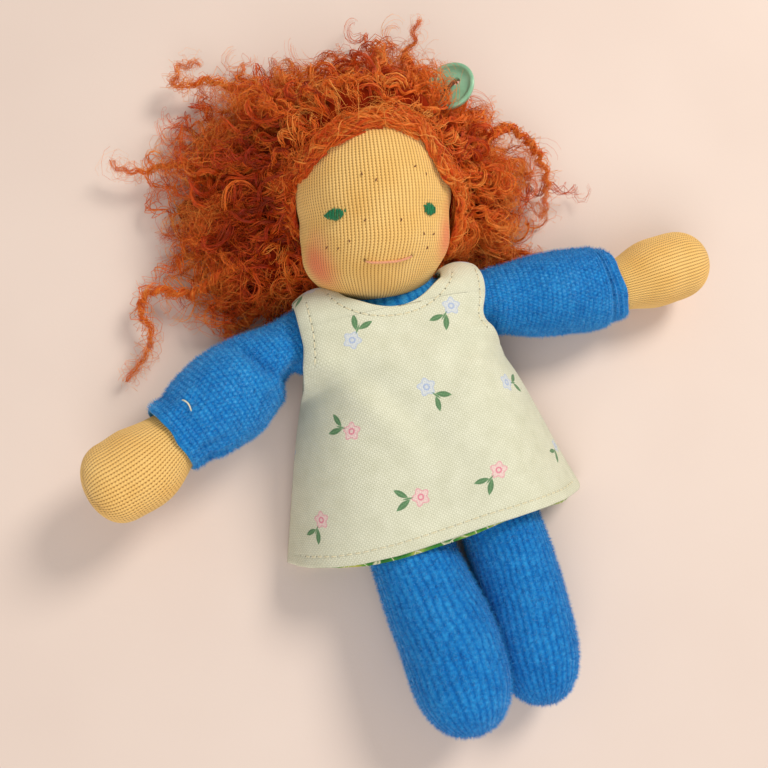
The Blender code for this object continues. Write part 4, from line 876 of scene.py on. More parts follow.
def folds_right(S, A, L):
    """The sleeve tucks in deep below the armhole and steps out again; the cuff is gathered and flares a little."""
    low = smooth(np.cos(A + 0.35), -0.1, 0.55)                 # towards the hem side
    f = -low * smooth(S, 2.5, 7.0) * (2.5 * (1 - smooth(S, 9.8, 12.0)) + 1.9 * (1 - smooth(S, 12.0, 21.0)))
    crease = bell(S - 12.0 - 1.9 * (A - 1.2), 0, 1.5) * smooth(A, 0.9, 1.35) * (1 - smooth(A, 1.8, 2.7))
    f -= 1.6 * crease
    f += 0.4 * bell(S - 15.6 - 1.9 * (A - 1.2), 0, 2.0) * smooth(A, 0.7, 1.3) * (1 - smooth(A, 1.9, 2.8))
    f += 0.5 * bell(S - 7.6 - 1.0 * (A - 1.2), 0, 2.2) * smooth(A, 1.0, 1.5) * (1 - smooth(A, 1.9, 2.8))
    gather = np.cos(A * 13 + 1.3 * np.sin(2 * A)) * bell(S, L - 5.4, 3.6)
    f += 0.36 * gather * (0.5 + 0.5 * np.cos(A - 0.6)) - 0.5 * bell(S, L - 3.6, 1.5)
    f += 0.35 * smooth(S, L - 2.6, L) * (0.75 + 0.4 * np.cos(A - 2.6)) + 0.1 * np.cos(A * 9 + 0.8) * smooth(S, L - 2.4, L)
    return f


def post_right(P, S, A, L, d):
    wave = 0.14 * np.cos(A * 5 + 1.0) + 0.08 * np.cos(A * 9 + 2.0)
    return P + d * (wave * smooth(S, L - 2.6, L))[..., None]


def post_left(P, S, A, L, d):
    """The cuff is cut a little aslant and lies flatter than the arm."""
    P = P.copy()
    k = smooth(S, L - 9, L)
    P[..., 0] += k * (-0.08 * (P[..., 1] - 16.4) - 1.3 - 0.2 * np.maximum(0, P[..., 2] - 10.3) + 0.12 * np.cos(A * 6 + 0.5) * smooth(S, L - 2, L))
    P[..., 2] = 10.3 + (P[..., 2] - 10.3) * (1 - 0.12 * smooth(S, L - 16, L - 2))
    return P


def folds_left(S, A, L):
    f = -0.45 * bell(S, 1.5, 1.6)
    wav = 0.5 * np.sin(A * 1.0 + 0.6)
    f += 0.35 * bell(S - L + 1.2 + wav * 0.4, 0, 0.8) - 0.3 * bell(S - L + 2.2 + wav * 0.4, 0, 0.35) + 0.3 * bell(S - L + 2.9 + wav, 0, 0.5)
    f += 0.35 * bell(S - L + 5.7 + wav, 0, 1.2) - 0.95 * bell(S - L + 4.0 + wav, 0, 0.65) * (0.6 + 0.4 * smooth(np.cos(A - 1.8), -0.6, 0.5))
    f += 0.12 * np.cos(A * 7) * smooth(S, L - 7, L - 1)
    f += 0.3 * bell(S, L * 0.45, 8) * np.cos(A - 1.2)
    f -= smooth(-np.cos(A), 0.2, 0.95) * (1.1 * smooth(S, L - 10, L - 4) + 0.8 * bell(S, L * 0.58, 7))
    return f


SR = sleeve("right", ARM_R_PATH, ARM_R_RADII, "arm_right", folds_right, ("sleeve_right", "arm_stuffing_right"), 21, 1.1, post_right)
SL = sleeve("left", ARM_L_PATH, ARM_L_RADII, "arm_left", folds_left, ("sleeve_left", "arm_stuffing_left"), 41, 1.03, post_left)


def hand(side, path, radii, body, seed, crease):
    wales, sub = 66, 5
    cols = wales * sub
    rows, cen, rad, a, b, ang, L = limb(path, radii, 0, True, 0.26, cols, end_rows=20)
    S, A = np.meshgrid(rows, ang, indexing="ij")
    R = np.repeat(rad[:, None], cols, 1)
    w = A / TAU * wales
    sw_ = np.abs((w % 1) - 0.5) * 2
    near_tip = smooth(R, 1.2, 4.5)
    P0 = skin_rows(cen, a, b, R, ang)
    R = R + 0.07 * ripple(P0, seed, 11) * near_tip + near_tip * 0.1 * (np.sqrt(np.maximum(0, 1 - sw_ ** 2.4)) - 0.6)
    P = skin_rows(cen, a, b, R, ang, 0.97)
    if crease:                         # the short seam that closes the mitt shows near its end
        ax = unit(np.array(path[-1], float) - np.array(path[-2], float))
        rel = P - (np.array(path[-1], float) - ax * 1.1)
        ahead = rel @ ax
        sidew = rel @ a[-1]
        up = rel @ b[-1]
        line = bell(ahead + 0.055 * sidew ** 2, 0, 0.3) * smooth(up, -1, 3) * (1 - smooth(np.abs(sidew), 3.5, 6.0))
        P = P - ax * (0.16 * line)[..., None] - np.array((0, 0, 0.12)) * line[..., None]
    else:
        line = np.zeros(S.shape)
    uvg = np.stack([np.broadcast_to(np.linspace(0, wales, cols + 1), (len(rows), cols + 1)), np.broadcast_to((rows / 0.58)[:, None], (len(rows), cols + 1))], -1)
    tip_blush = np.zeros(S.shape)
    # painted shade along the crease of the mitt seam
    o = capped("hand_jersey_" + side, P, mat_hand, uvg, {"blush": tip_blush, "pit_shade": line * 0.22}, tip=np.array(path[-1], float))
    put(o, body, "skin", "hand_skin_" + side, "hand_stuffing_" + side)
    return P


HR = hand("right", HAND_R_PATH, HAND_R_RADII, "arm_right", 51, True)
HL = hand("left", HAND_L_PATH, HAND_L_RADII, "arm_left", 52, False)


def leg(side, path, radii, body, twist, seed):
    ribs, sub = 36, 8
    cols = ribs * sub
    rows, cen, rad, a, b, ang, L = limb(path, radii, radii[0], True, 0.32, cols, end_rows=26, blunt=(2.9, 2.15))
    S, A = np.meshgrid(rows, ang, indexing="ij")
    R = np.repeat(rad[:, None], cols, 1)
    P0 = skin_rows(cen, a, b, R, ang)
    body_part = smooth(S, -6, -2) * smooth(R, 0.8, 3.5)
    wob = 0.16 * ripple(P0, seed, 14) + 0.1 * ripple(P0, seed + 1, 3.6)
    turned = A / TAU * ribs + wob + twist * ribs / 360 * S / 40
    ridge = rib_profile(turned)
    row = 0.5 + 0.5 * np.cos(S / 0.95 * TAU + math.pi * np.floor(turned + 0.5) + 1.5 * ripple(P0, seed + 3, 8))
    weak = 0.75 + 0.25 * smooth(ripple(P0, seed + 5, 6), -0.5, 0.5)
    h = (1 - weak + weak * ridge) * (0.7 + 0.3 * row) + 0.14 * ripple(P0, seed + 6, 1.6, 12)
    R = R + 0.1 * ripple(P0, seed + 2, 15) * body_part + body_part * (0.21 * h - 0.16)
    P = skin_rows(cen, a, b, R, ang)
    # painted shade: the tone follows the rib height, light on the ridges and dark in the channels
    tone = (body_part * h + (1 - body_part) * 0.6) * 0.72 - 0.02
    uvg = np.stack([np.broadcast_to(np.linspace(0, 1, cols + 1), (len(rows), cols + 1)), np.broadcast_to(rows[:, None] * 0.02, (len(rows), cols + 1))], -1)
    o = capped("leg_pile_" + side, P, mat_velour, uvg, {"rib_shade": tone}, tip=np.array(path[-1], float))
    put(o, body, "velour", "leg_velour_" + side, "leg_stuffing_" + side)
    fuzz("leg_fuzz_" + side, P, tone, 26000, 0.9, body, seed + 9, rows=(40, len(rows) - 1))
    return P


LR = leg("right", LEG_R_PATH, LEG_R_RADII, "leg_right", 14.0, 61)
LL = leg("left", LEG_L_PATH, LEG_L_RADII, "leg_left", 3.0, 71)


# ------------------------------------------------------------------ body under the dress, and the neck
def loop_thread(name, centre, axis, r, minor, mat, wob=0.0, turns=1.0, n=96, squash=1.0):
    axis = unit(axis)
    a = unit(np.cross(axis, (0.3, 0.2, 0.9)))
    b = np.cross(axis, a)
    p = np.linspace(0, TAU * turns, n)
    line = np.array(centre) + r * (a * np.cos(p)[:, None] + b * squash * np.sin(p)[:, None]) + axis * (wob * np.sin(p * 5) + (p / TAU - turns / 2) * minor * 2.0)[:, None]
    return thread_piece(name, line[None], minor, mat, 6)


rings = catmull(np.array(TORSO_RINGS, float), 14)
s_t = np.concatenate([[0], np.cumsum(np.linalg.norm(np.diff(rings, axis=0)[:, :2], axis=1))])
fine = np.arange(0, s_t[-1], 0.3)
rings = np.stack([np.interp(fine, s_t, rings[:, i]) for i in range(4)], 1)
tc = 288
ang = np.linspace(0, TAU, tc, endpoint=False)
cx, sx_ = np.cos(ang), np.sin(ang)
ex = np.sign(cx) * np.abs(cx) ** 0.78
ez = np.sign(sx_) * np.abs(sx_) ** 0.78
P = np.stack([rings[:, 1:2] * ex, np.repeat(rings[:, :1], tc, 1), (rings[:, 2:3] + rings[:, 3:4]) / 2 + (rings[:, 3:4] - rings[:, 2:3]) / 2 * ez], -1)
ridge = rib_profile(ang / TAU * 58)
mid = np.stack([np.zeros(len(rings)), rings[:, 0], (rings[:, 2] + rings[:, 3]) / 2], 1)[:, None]
P = P + unit(P - mid + 1e-6) * (0.07 * ridge - 0.1 + 0.15 * ripple(P, 88, 9))[..., None]
hp = to_head(P)                      # keep off the head, which presses into the collar
q = np.sqrt(np.sum((hp / (np.array(HEAD_R) + 0.5)) ** 2, axis=-1, keepdims=True))
hp = np.where(q < 1, hp / np.maximum(q, 0.35), hp)
P = to_doll(hp)
P[..., 2] = np.maximum(P[..., 2], 1.6)
uvg = np.stack([np.broadcast_to(np.linspace(0, 1, tc + 1), (len(P), tc + 1)), np.broadcast_to(np.arange(len(P))[:, None] * 0.01, (len(P), tc + 1))], -1)
# painted shade: the tone follows the ridges of the knit, dark in the channels between them
torso = capped("torso_pile", P, mat_velour, uvg, {"rib_shade": np.broadcast_to(ridge * 0.8 + 0.12, P.shape[:2])})
put(torso, "torso", "velour", "torso_velour", "torso_stuffing", "hip_thread_left", "hip_thread_right", "shoulder_thread_left", "shoulder_thread_right")
fuzz("torso_fuzz", P, np.broadcast_to(ridge * 0.8 + 0.12, P.shape[:2]), 9000, 0.45, "torso", 99, rows=(1, 40))

neck_line = np.array([NECK - UP * 2.5 + UP * 0.5 * i for i in range(15)])
nt, na, nb = (x[0] for x in carried(neck_line[None]))
nang = np.linspace(0, TAU, 120, endpoint=False)
nr = 5.0 + 0.25 * np.cos(nang * 20)[None, :] + 0.8 * smooth(np.arange(15), 6, 14)[:, None] - 0.5 * bell(np.arange(15), 5, 1.6)[:, None]
P = skin_rows(neck_line, na, nb, nr, nang)
uvg = np.stack([np.broadcast_to(np.linspace(0, 40, 121), (15, 121)), np.broadcast_to(np.arange(15)[:, None] * 0.9, (15, 121))], -1)
neck = capped("neck_gathers", P, mat_skin, uvg, {"blush": np.zeros((15, 120)), "pit_shade": np.zeros((15, 120))})
put(neck, "neck", "skin", "neck_core")
tie = loop_thread("neck_tie", NECK, UP, 5.3, 0.24, mat_cream, 0.1, 2.0, 120)
put(tie, "neck", "thread", "neck_tie_thread")
for side, path, body in (("right", HAND_R_PATH, "arm_right"), ("left", HAND_L_PATH, "arm_left")):
    lo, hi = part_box("wrist_tie_" + side)
    c = (np.array(lo) + np.array(hi)) / 2 / MM
    o = loop_thread("wrist_thread_" + side, c, np.array(path[1]) - np.array(path[0]), 5.95, 0.24, mat_cream, 0.1, 2.0, 110)
    put(o, body, "thread", "wrist_tie_" + side)

# short cream stitch that shows on the right cuff
P_, rows_, cen_, a_, b_, R_ = SR
f = np.linspace(0, 1, 15)
s0, A0 = rows_[-1] - 5.1 - 0.5 * np.sin(f * math.pi), np.radians(116 - 24 * f)
i, j = np.searchsorted(rows_, s0), np.round(A0 / TAU * R_.shape[1]).astype(int)
r0 = np.array([np.median(R_[x - 8:x + 9, y - 8:y + 9]) for x, y in zip(i, j)])
r0 = np.polyval(np.polyfit(f, r0, 2), f) + 0.34 - 0.6 * np.abs(2 * f - 1) ** 4
line = at(cen_, rows_, s0) + r0[:, None] * (at(a_, rows_, s0) * np.cos(A0)[:, None] + at(b_, rows_, s0) * np.sin(A0)[:, None])
cuff = thread_piece("cuff_stitch", line[None], 0.17, mat_cream, 7)
put(cuff, "arm_right", "thread", "cuff_stitch_right")


# ------------------------------------------------------------------ dress
def half_width(y):
    y = np.asarray(y, float)
    up = 20.3 + 1.6 * (1 - smooth(y, ARMHOLE_Y, 16.0))
    s = np.clip((ARMHOLE_Y - y) / (ARMHOLE_Y - HEM_Y), 0, 1.2)
    return np.where(y >= ARMHOLE_Y, up, 21.9 + (HEM_HALF - 21.9) * s ** 0.9 + 0.5 * np.sin(np.clip(s, 0, 1) * math.pi))


def half_at(x, y):
    """The dress's half width; the armhole on the doll's left is cut a little deeper."""
    return half_width(y) - np.where(np.asarray(x) > 0, 1.35 * smooth(y, 6, 12) + 2.7 * bell(y, 12.4, 4.8), 0.0)


def side_height(y):
    return 8.8 - 4.8 * smooth(-np.asarray(y, float), -ARMHOLE_Y, 24.0)


def front_z(x, y, left):
    crest = 26.2 - 4.2 * smooth(-y, -4.0, 28.4) - 0.4 * smooth(y, 8, 20)
    edge = side_height(y) - 1.6 * smooth(ARMHOLE_Y - y, 0.5, 4)
    edge = edge + (21.9 - edge) * smooth(y, ARMHOLE_Y - 2.5, ARMHOLE_Y + 3.0)
    k = np.minimum(1.0, np.abs(x) / half_at(x, y))
    z = edge + (crest - edge) * (1 - k ** 3.2) ** 0.75
    z = z + front_folds(x, y) * left * (1 - k ** 6)
    return SHOULDER_Z + 0.85 + (z - SHOULDER_Z - 0.85) * left


def front_folds(x, y):
    """Soft drape of the skirt, and the pulls that run down from the armholes."""
    skirt = smooth(-y, -6, 26)
    f = skirt * (0.75 * np.sin(x / 7.4 + 0.9 + y / 30) + 0.35 * np.sin(x / 4.1 - 0.7 + y / 17))
    d = (x + 14.5) * 0.84 + (y - 4) * 0.54
    f = f + 0.75 * bell(d, 0, 2.6) * bell(y, 2, 13) - 0.5 * bell(d, 5.2, 2.6) * bell(y, 0, 13)
    d = (x - 15) * 0.8 - (y - 6) * 0.6
    f = f + 0.55 * bell(d, 0, 2.4) * bell(y, 3, 11) - 0.3 * bell(d, -4.6, 2.4) * bell(y, 3, 11)
    f = f - 0.45 * bell(y + 0.12 * x, 12.4, 3.4) * bell(x, 1, 9) + 0.3 * bell(y, 6, 3) * bell(x, -3, 8)
    return f + 0.16 * np.sin(x / 2.6 + y / 5.0) * bell(y, 20, 6)


def back_z(x, y, left):
    edge = side_height(y) - 2.4
    edge = edge + (1.5 - edge) * smooth(y, ARMHOLE_Y - 2.5, ARMHOLE_Y + 3.0)
    k = np.maximum(0.0, (np.minimum(1.0, np.abs(x) / half_at(x, y)) - 0.62) / 0.38)
    z = HALF_GAP + CLOTH + edge * k ** 2.2
    return SHOULDER_Z - 0.85 + (z - SHOULDER_Z + 0.85) * left


def warp(p, front):
    """The hem dips and its corners lift; the tops of the straps are rounded."""
    x, y = p[..., 0], p[..., 1]
    rise = np.interp(x, (-34, -31, -29, -24, -19, -12, -7, 0, 6, 12, 19, 25, 31, 34), (3.6, 1.6, 0.7, -0.5, -1.1, -1.25, -1.0, -0.5, 0.0, 0.25, 0.7, 1.3, 2.6, 4.2))
    p[..., 1] += rise * smooth(-y, 4, 29)
    top_ = smooth(y, 20, 27)
    p[..., 1] -= top_ * np.where(x > 0, 0.6, 0.0)
    p[..., 1] -= top_ * 1.9 * np.clip((np.abs(x) - 15.2) / 5.0, -1, 1.2) ** 2
    return p


def neck_half(y, neck_y, slit_y, power):
    y = np.asarray(y, float)
    f = np.clip((SHOULDER_Y - y) / (SHOULDER_Y - neck_y), 0, 1)
    open_ = NECK_HALF * np.maximum(0, 1 - f ** power) ** (1 / power)
    return np.where(y <= slit_y + 1e-9, -0.3, np.where(y <= neck_y + 1e-9, 0.3, np.maximum(0.3, open_)))


def panel(height, turn_y, side, neck_y, slit_y, power, front, cols=100, step_=0.34, hem=0.0):
    """One half of a layer, as rows x cols points; rows run from the hem up and over the shoulder."""
    soft = [neck_y + v for v in (0.02, 0.1, 0.25, 0.45, 0.7)] if neck_y < turn_y else []
    rows = np.unique(np.round(np.concatenate([np.arange(HEM_Y - hem, turn_y, step_), [slit_y, slit_y + 0.02] if slit_y < turn_y else [], [neck_y] if neck_y < turn_y else [], soft]), 4))
    rows = rows[rows < turn_y]
    ys, left = list(rows), [1.0] * len(rows)
    for q in np.linspace(0, 1, 46):
        ys.append(turn_y + (SHOULDER_Y - turn_y) * math.sin(q * math.pi / 2))
        left.append(max(0.0, math.cos(q * math.pi / 2)))
    ys, left = np.array(ys), np.array(left)
    inner = neck_half(ys, neck_y, slit_y, power)
    inner = np.where((inner > 0) & front & (side > 0), inner * 0.93, inner)
    u = np.linspace(0, 1, cols) ** 0.92
    outer = half_at(side, ys)
    X = side * (inner[:, None] + (outer - inner)[:, None] * u[None])
    Y = np.repeat(ys[:, None], cols, 1)
    Z = height(X, Y, left[:, None])
    P = warp(np.stack([X, Y, Z], -1), front)
    # how the cloth faces along the middle line, from both sides of it at once
    pair = [warp(np.stack([0 * ys + x, ys, height(0 * ys + x, ys, left)], -1), front) for x in (-0.04, 0.04)]
    facing = unit(np.cross(pair[1] - pair[0], np.gradient((pair[0] + pair[1]) / 2, axis=0)))
    return P, inner, ys, facing


def slab(P, lo, hi, open_edge, side, joined, facing):
    """A closed sheet from a surface: offsets lo and hi along its normal, thinner at its real edges."""
    R, C = P.shape[:2]
    N = unit(np.cross(np.gradient(P, axis=1), np.gradient(P, axis=0)))
    N = N * side
    N[joined, 0] = facing[joined]
    tuck = np.zeros((R, C))
    tuck[joined, 0] = 0.012
    across = np.concatenate([np.zeros((R, 1)), np.cumsum(np.linalg.norm(np.diff(P, axis=1), axis=2), axis=1)], 1)
    up = np.concatenate([np.zeros((1, C)), np.cumsum(np.linalg.norm(np.diff(P, axis=0), axis=2), axis=0)], 0)
    d = np.minimum(across[:, -1:] - across, up)
    d = np.where(open_edge[:, None], np.minimum(d, across), d)
    neck = P[open_edge, 0]
    if len(neck) > 2:
        neck = at(neck, along(neck), np.arange(0, along(neck)[-1], 0.12))[:40]
        low_rows = np.where(~open_edge)[0][-30:]
        gap = np.linalg.norm(P[low_rows][:, :, None] - neck, axis=3).min(axis=2)
        d[low_rows] = np.minimum(d[low_rows], gap)
    k = np.clip(1 - d / 0.55, 0, 1) ** 2
    c = (lo + hi) / 2
    top = P + N * (hi + (c - hi) * 0.8 * k - tuck)[..., None]
    low = P + N * (lo + (c - lo) * 0.8 * k + tuck)[..., None]
    q, pick = grid(R, C, False)
    n = R * C
    rim = []
    idx = np.arange(R * C).reshape(R, C)
    for edge, flip in ((idx[0], False), (idx[:, -1], False), (idx[-1][::-1], False), (idx[:, 0][::-1], False)):
        e0, e1 = edge[:-1], edge[1:]
        rim.append(np.stack([e0, e0 + n, e1 + n, e1], 1))
    rim = np.concatenate(rim)
    return top, low, q, pick, rim, n, across, up, N


def nearest_line(points, lines, pitch=0.25):
    """Distance to the nearest of the seam lines, and the length along it."""
    pts, ss = [], []
    for ln in lines:
        s = along(ln)
        w = np.arange(0, s[-1], pitch)
        pts.append(at(ln, s, w))
        ss.append(w)
    pts, ss = np.vstack(pts), np.concatenate(ss)
    d = np.full(len(points), 9.0)
    sv = np.zeros(len(points))
    for k0 in range(0, len(points), 4000):
        c = points[k0:k0 + 4000]
        dist = np.linalg.norm(c[:, None] - pts[None], axis=2)
        j = np.argmin(dist, axis=1)
        jj = np.clip(j, 0, len(pts) - 2)
        t = pts[jj + 1] - pts[jj]
        tl = np.linalg.norm(t, axis=1)
        ok = tl < pitch * 2
        t = t / np.maximum(tl, 1e-6)[:, None]
        off = np.where(ok, np.sum((c - pts[jj]) * t, axis=1), 0)
        d[k0:k0 + 4000] = np.linalg.norm(c - pts[jj] - t * off[:, None], axis=1)
        sv[k0:k0 + 4000] = ss[jj] + off
    return d, sv


FRONT_STITCH = {
    "hem": [(-30.0, -26.0), (-26, -26.2), (-18, -26.2), (-8, -26.2), (0, -26.2), (8, -26.2), (18, -26.2), (26, -26.2), (30.0, -26.0)],
    "neck": [(-13.6, 25.2), (-12.9, 22.8), (-11.0, 20.2), (-7.4, 17.8), (-3.4, 16.6), (0, 16.3), (3.2, 16.6), (6.9, 17.8), (10.3, 20.2), (12.1, 22.8), (12.8, 25.2)],
    "arm_r": [(-18.1, 25.0), (-18.2, 21.0), (-18.3, 17.0), (-18.9, 13.0), (-19.7, 9.8)],
    "arm_l": [(18.0, 25.2), (17.8, 21.4), (17.0, 17.0), (15.7, 13.2), (16.9, 9.8)]}


def on_panels(xy, panels):
    """The point of the outer cloth's surface over each x, y, with its normal."""
    out = []
    tops, norms = np.vstack([p[0].reshape(-1, 3) for p in panels]), np.vstack([p[1].reshape(-1, 3) for p in panels])
    for x, y in xy:
        d = (tops[:, 0] - x) ** 2 + (tops[:, 1] - y) ** 2
        j = np.argsort(d)[:4]
        w = 1 / (d[j] + 1e-4)
        w /= w.sum()
        p = (tops[j] * w[:, None]).sum(0)
        out.append((np.array((x, y, p[2])), unit((norms[j] * w[:, None]).sum(0))))
    return out


# outer cloth of the front: its surface first, then the seam lines on it
front = {}
for side, name in ((-1, "right"), (1, "left")):
    P, inner, ys, facing = panel(front_z, FRONT_TURN_Y, side, NECK_LOOK_Y, NECK_LOOK_Y, 1.8, True)
    front[name] = (P, inner, ys, slab(P, HALF_GAP, HALF_GAP + CLOTH, inner > 0, side, inner < 0, facing))
panels = [(front[n][3][0], front[n][3][8]) for n in front]
seams = {}
for key, pts in FRONT_STITCH.items():
    ln = catmull(np.array(pts, float), 16)
    s = along(np.column_stack([ln, np.zeros(len(ln))]))
    ln = at(ln, s, np.arange(0, s[-1], 0.35))
    hit = on_panels(warp(np.column_stack([ln, np.zeros(len(ln))]), True)[:, :2], panels)
    seams[key] = (np.array([h[0] for h in hit]), np.array([h[1] for h in hit]))
seam_lines = [seams[k_][0] for k_ in seams]


def cloth_piece(name, part, mat, body_blend, node, side, with_seam=True, uv_shift=0.0):
    P, inner, ys, (top, low, q, pick, rim, n, across, up, N) = part
    X = P[..., 0]
    width_mm = side * P[:, :1, 0] + across
    U = np.sign(side) * width_mm
    steps = np.linalg.norm(np.diff(P, axis=0), axis=2)
    step_len = np.where(inner[1:] < 0, steps[:, 0], np.median(steps, axis=1))
    V = np.broadcast_to(np.concatenate([[0], np.cumsum(step_len)])[:, None] + HEM_Y, up.shape)
    UVg = np.stack([U + uv_shift, V], -1)
    top_uv = UVg[pick]
    uvs = [top_uv, top_uv[:, ::-1], UVg.reshape(-1, 2)[rim % n]]
    faces = [q, q[:, ::-1] + n, rim]
    v = np.vstack([top.reshape(-1, 3), low.reshape(-1, 3)])
    if with_seam:
        d, s = nearest_line(v, seam_lines)
    else:
        d, s = np.full(len(v), 9.0), np.zeros(len(v))
    o = make(name, v, faces, mat, uvs, {"seam_d": d, "seam_s": s})
    flags = np.ones(len(o.data.polygons), bool)
    flags[-(P.shape[0] - 1):] = False                         # a crisp edge down the middle, where the two halves meet
    o.data.polygons.foreach_set("use_smooth", flags)
    outward(o)
    if body_blend:
        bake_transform(o)
        w = skirt_weight(v)
    else:
        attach(o, "torso")
    if node:
        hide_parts(*node)
    return o


def skirt_weight(v):
    return smooth(-v[:, 1], 3.0, 22.0) * smooth(np.abs(v[:, 0]), 0.4, 9.0)


cloth_objects = []
for side, name in ((-1, "right"), (1, "left")):
    cloth_objects.append(cloth_piece("dress_cloth_front_" + name, front[name], mat_dress, "leg_" + name,
                                     ("dress_front",), side))
    P, inner, ys, facing = panel(front_z, FRONT_TURN_Y, side, NECK_LOOK_Y, NECK_LOOK_Y, 1.8, True, cols=80, step_=0.5)
    P[..., 0] -= side * 0.5 * smooth(P[..., 1], 9, 12) * (np.abs(P[..., 0]) / 20) ** 4
    peek = (0.7 * smooth(P[..., 0], -27, -14) * (1 - smooth(P[..., 0], 3, 12)) + 0.45 * bell(P[..., 0], 25, 3)) * smooth(-P[..., 1], 24, 28.2)
    P[..., 1] -= peek
    part = (P, inner, ys, slab(P, -HALF_GAP - CLOTH, -HALF_GAP, inner > 0, side, inner < 0, facing))
    cloth_objects.append(cloth_piece("dress_lining_front_" + name, part, mat_lining, "leg_" + name,
                                     ("dress_front_lining",), side, False))
    P, inner, ys, facing = panel(back_z, BACK_TURN_Y, side, NECK_BACK_Y, SLIT_Y, 2.0, False, cols=80, step_=0.5)
    part = (P, inner, ys, slab(P, -HALF_GAP - CLOTH, -HALF_GAP, inner > 0, side, inner < 0, facing))
    cloth_objects.append(cloth_piece("dress_cloth_back_" + name, part, mat_dress, None,
                                     ("dress_back",), side, False, 7.0))
    part = (P, inner, ys, slab(P, HALF_GAP, HALF_GAP + CLOTH, inner > 0, side, inner < 0, facing))
    cloth_objects.append(cloth_piece("dress_lining_back_" + name, part, mat_lining, None,
                                     ("dress_back_lining",), side, False))


def stitches(name, line, normals, pitch=1.75, keep=None):
    s = along(line)
    out = []
    for i in range(int(s[-1] / pitch)):
        w = np.linspace((i + 0.5) * pitch + 0.16, (i + 1.5) * pitch - 0.16, 9)
        if w[-1] > s[-1]:
            break
        p, nn = at(line, s, w), unit(at(normals, s, w))
        if keep is not None and not keep(p[4]):
            continue
        f = np.linspace(-1, 1, 9)[:, None]
        out.append(p + nn * (0.08 - 0.26 * np.abs(f) ** 3))
    return thread_piece(name, np.array(out), 0.1, mat_cream, 5)


ln, nn = seams["neck"]
put(stitches("neck_topstitches", ln, nn), "torso", "thread", "neck_topstitch")
put(stitches("armhole_topstitches_right", *seams["arm_r"]), "torso", "thread", "armhole_topstitch_right")
put(stitches("armhole_topstitches_left", *seams["arm_l"]), "torso", "thread", "armhole_topstitch_left")
for side, name in ((-1, "right"), (1, "left")):
    o = stitches("hem_topstitches_" + name, *seams["hem"], keep=lambda p, side=side: p[0] * side > 0)
    co = np.zeros(len(o.data.vertices) * 3, np.float32)
    o.data.vertices.foreach_get("co", co)
    "leg_" + name
    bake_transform(o)
    skirt_weight(co.reshape(-1, 3).astype(float) / MM).astype(np.float32)
    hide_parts("hem_topstitch")


# ------------------------------------------------------------------ buttons
def button(name, centre, axis, r, t, hole, hole_x, rim, dish, mat, body, slot, node, spin=0.0):
    """A turned button with a raised rim, a dished middle and two holes."""
    axis = unit(axis)
    a = unit(np.cross((0, 1, 0), axis))
    a = unit(a * math.cos(spin) + np.cross(axis, a) * math.sin(spin))
    b = np.cross(axis, a)
    n = 128
    prof = [(0.0, t / 2 - dish)]
    prof += [(x * (r - rim - 0.5), t / 2 - dish + 0.1 * dish * x ** 3) for x in np.linspace(0.08, 1, 16)]
    for q in np.linspace(0, math.pi, 16):
        prof.append((r - rim / 2 - 0.0 - math.cos(q) * rim / 2, t / 2 - rim * 0.32 + math.sin(q) * rim * 0.32))
    for q in np.linspace(0.1, math.pi / 2, 8):
        prof.append((r - (t * 0.42) * (1 - math.cos(q)) * 0.5, (t / 2 - rim * 0.32) * (1 - q / (math.pi / 2)) - (t / 2 - 0.2) * q / (math.pi / 2) * 0.6))
    for q in np.linspace(0.2, math.pi / 2, 6):
        prof.append((r - t * 0.21 - (r * 0.2) * math.sin(q) * 0.6, -t / 2 + (t * 0.2) * (1 - math.sin(q)) ** 1.5))
    prof += [(x, -t / 2) for x in np.linspace(r * 0.75, 0.05, 8)]
    prof = np.array(prof[1:])
    ang_ = np.linspace(0, TAU, n, endpoint=False)
    pts = prof[:, :1, None] * np.stack([np.cos(ang_), np.sin(ang_), 0 * ang_], -1)[None] + np.array((0, 0, 1)) * prof[:, 1][:, None, None]
    P = pts
    o = capped(name, P, mat, np.zeros((len(P), n + 1, 2)), {"rib_shade": np.zeros((len(P), n))})
    for sx2 in (-1, 1):
        ang3 = np.linspace(0, TAU, 40, endpoint=False)
        cyl = np.stack([np.stack([sx2 * hole_x + hole * np.cos(ang3), hole * np.sin(ang3), np.full(40, z)], -1) for z in (-t, t)])
        c = capped("cutter", cyl, mat, np.zeros((2, 41, 2)), {"rib_shade": np.zeros((2, 40))})
        mod = o.modifiers.new("hole", "BOOLEAN")
        mod.operation, mod.object, mod.solver = "DIFFERENCE", c, "EXACT"
        bpy.context.view_layer.update()
        dg = bpy.context.evaluated_depsgraph_get()
        done = bpy.data.meshes.new_from_object(o.evaluated_get(dg))
        o.modifiers.clear()
        o.data = done
        bpy.data.objects.remove(c)
    rot = Matrix((tuple(a), tuple(b), tuple(axis))).transposed().to_4x4()
    o.data.transform(Matrix.Translation(Vector(centre) * MM) @ rot)
    put(o, body, slot, node)
    return o, a, b, axis


bt, ba, bb, bax = button("button_mint_dished", BUTTON_LOOK, (-0.45, 0.12, 0.885), BUTTON_R, BUTTON_T, 0.85, 1.5, 0.9, 0.75, mat_mint, "hair_button", "button", "hair_button", 0.5)
lines = []
bc = np.array(BUTTON_LOOK)
for off in (-0.28, 0.0, 0.28):
    x = np.linspace(-1.5, 1.5, 25)
    z = np.where(np.abs(x) < 1.3, 0.62 + 0.12 * np.cos(x * 1.1), 0.62 - (np.abs(x) - 1.3) * 6)
    lines.append(bc + ba * x[:, None] + bb * off + bax * z[:, None])
o = thread_piece("button_thread", np.array(lines), 0.2, mat_brown, 6)
put(o, "hair_button", "thread", "hair_button_thread")

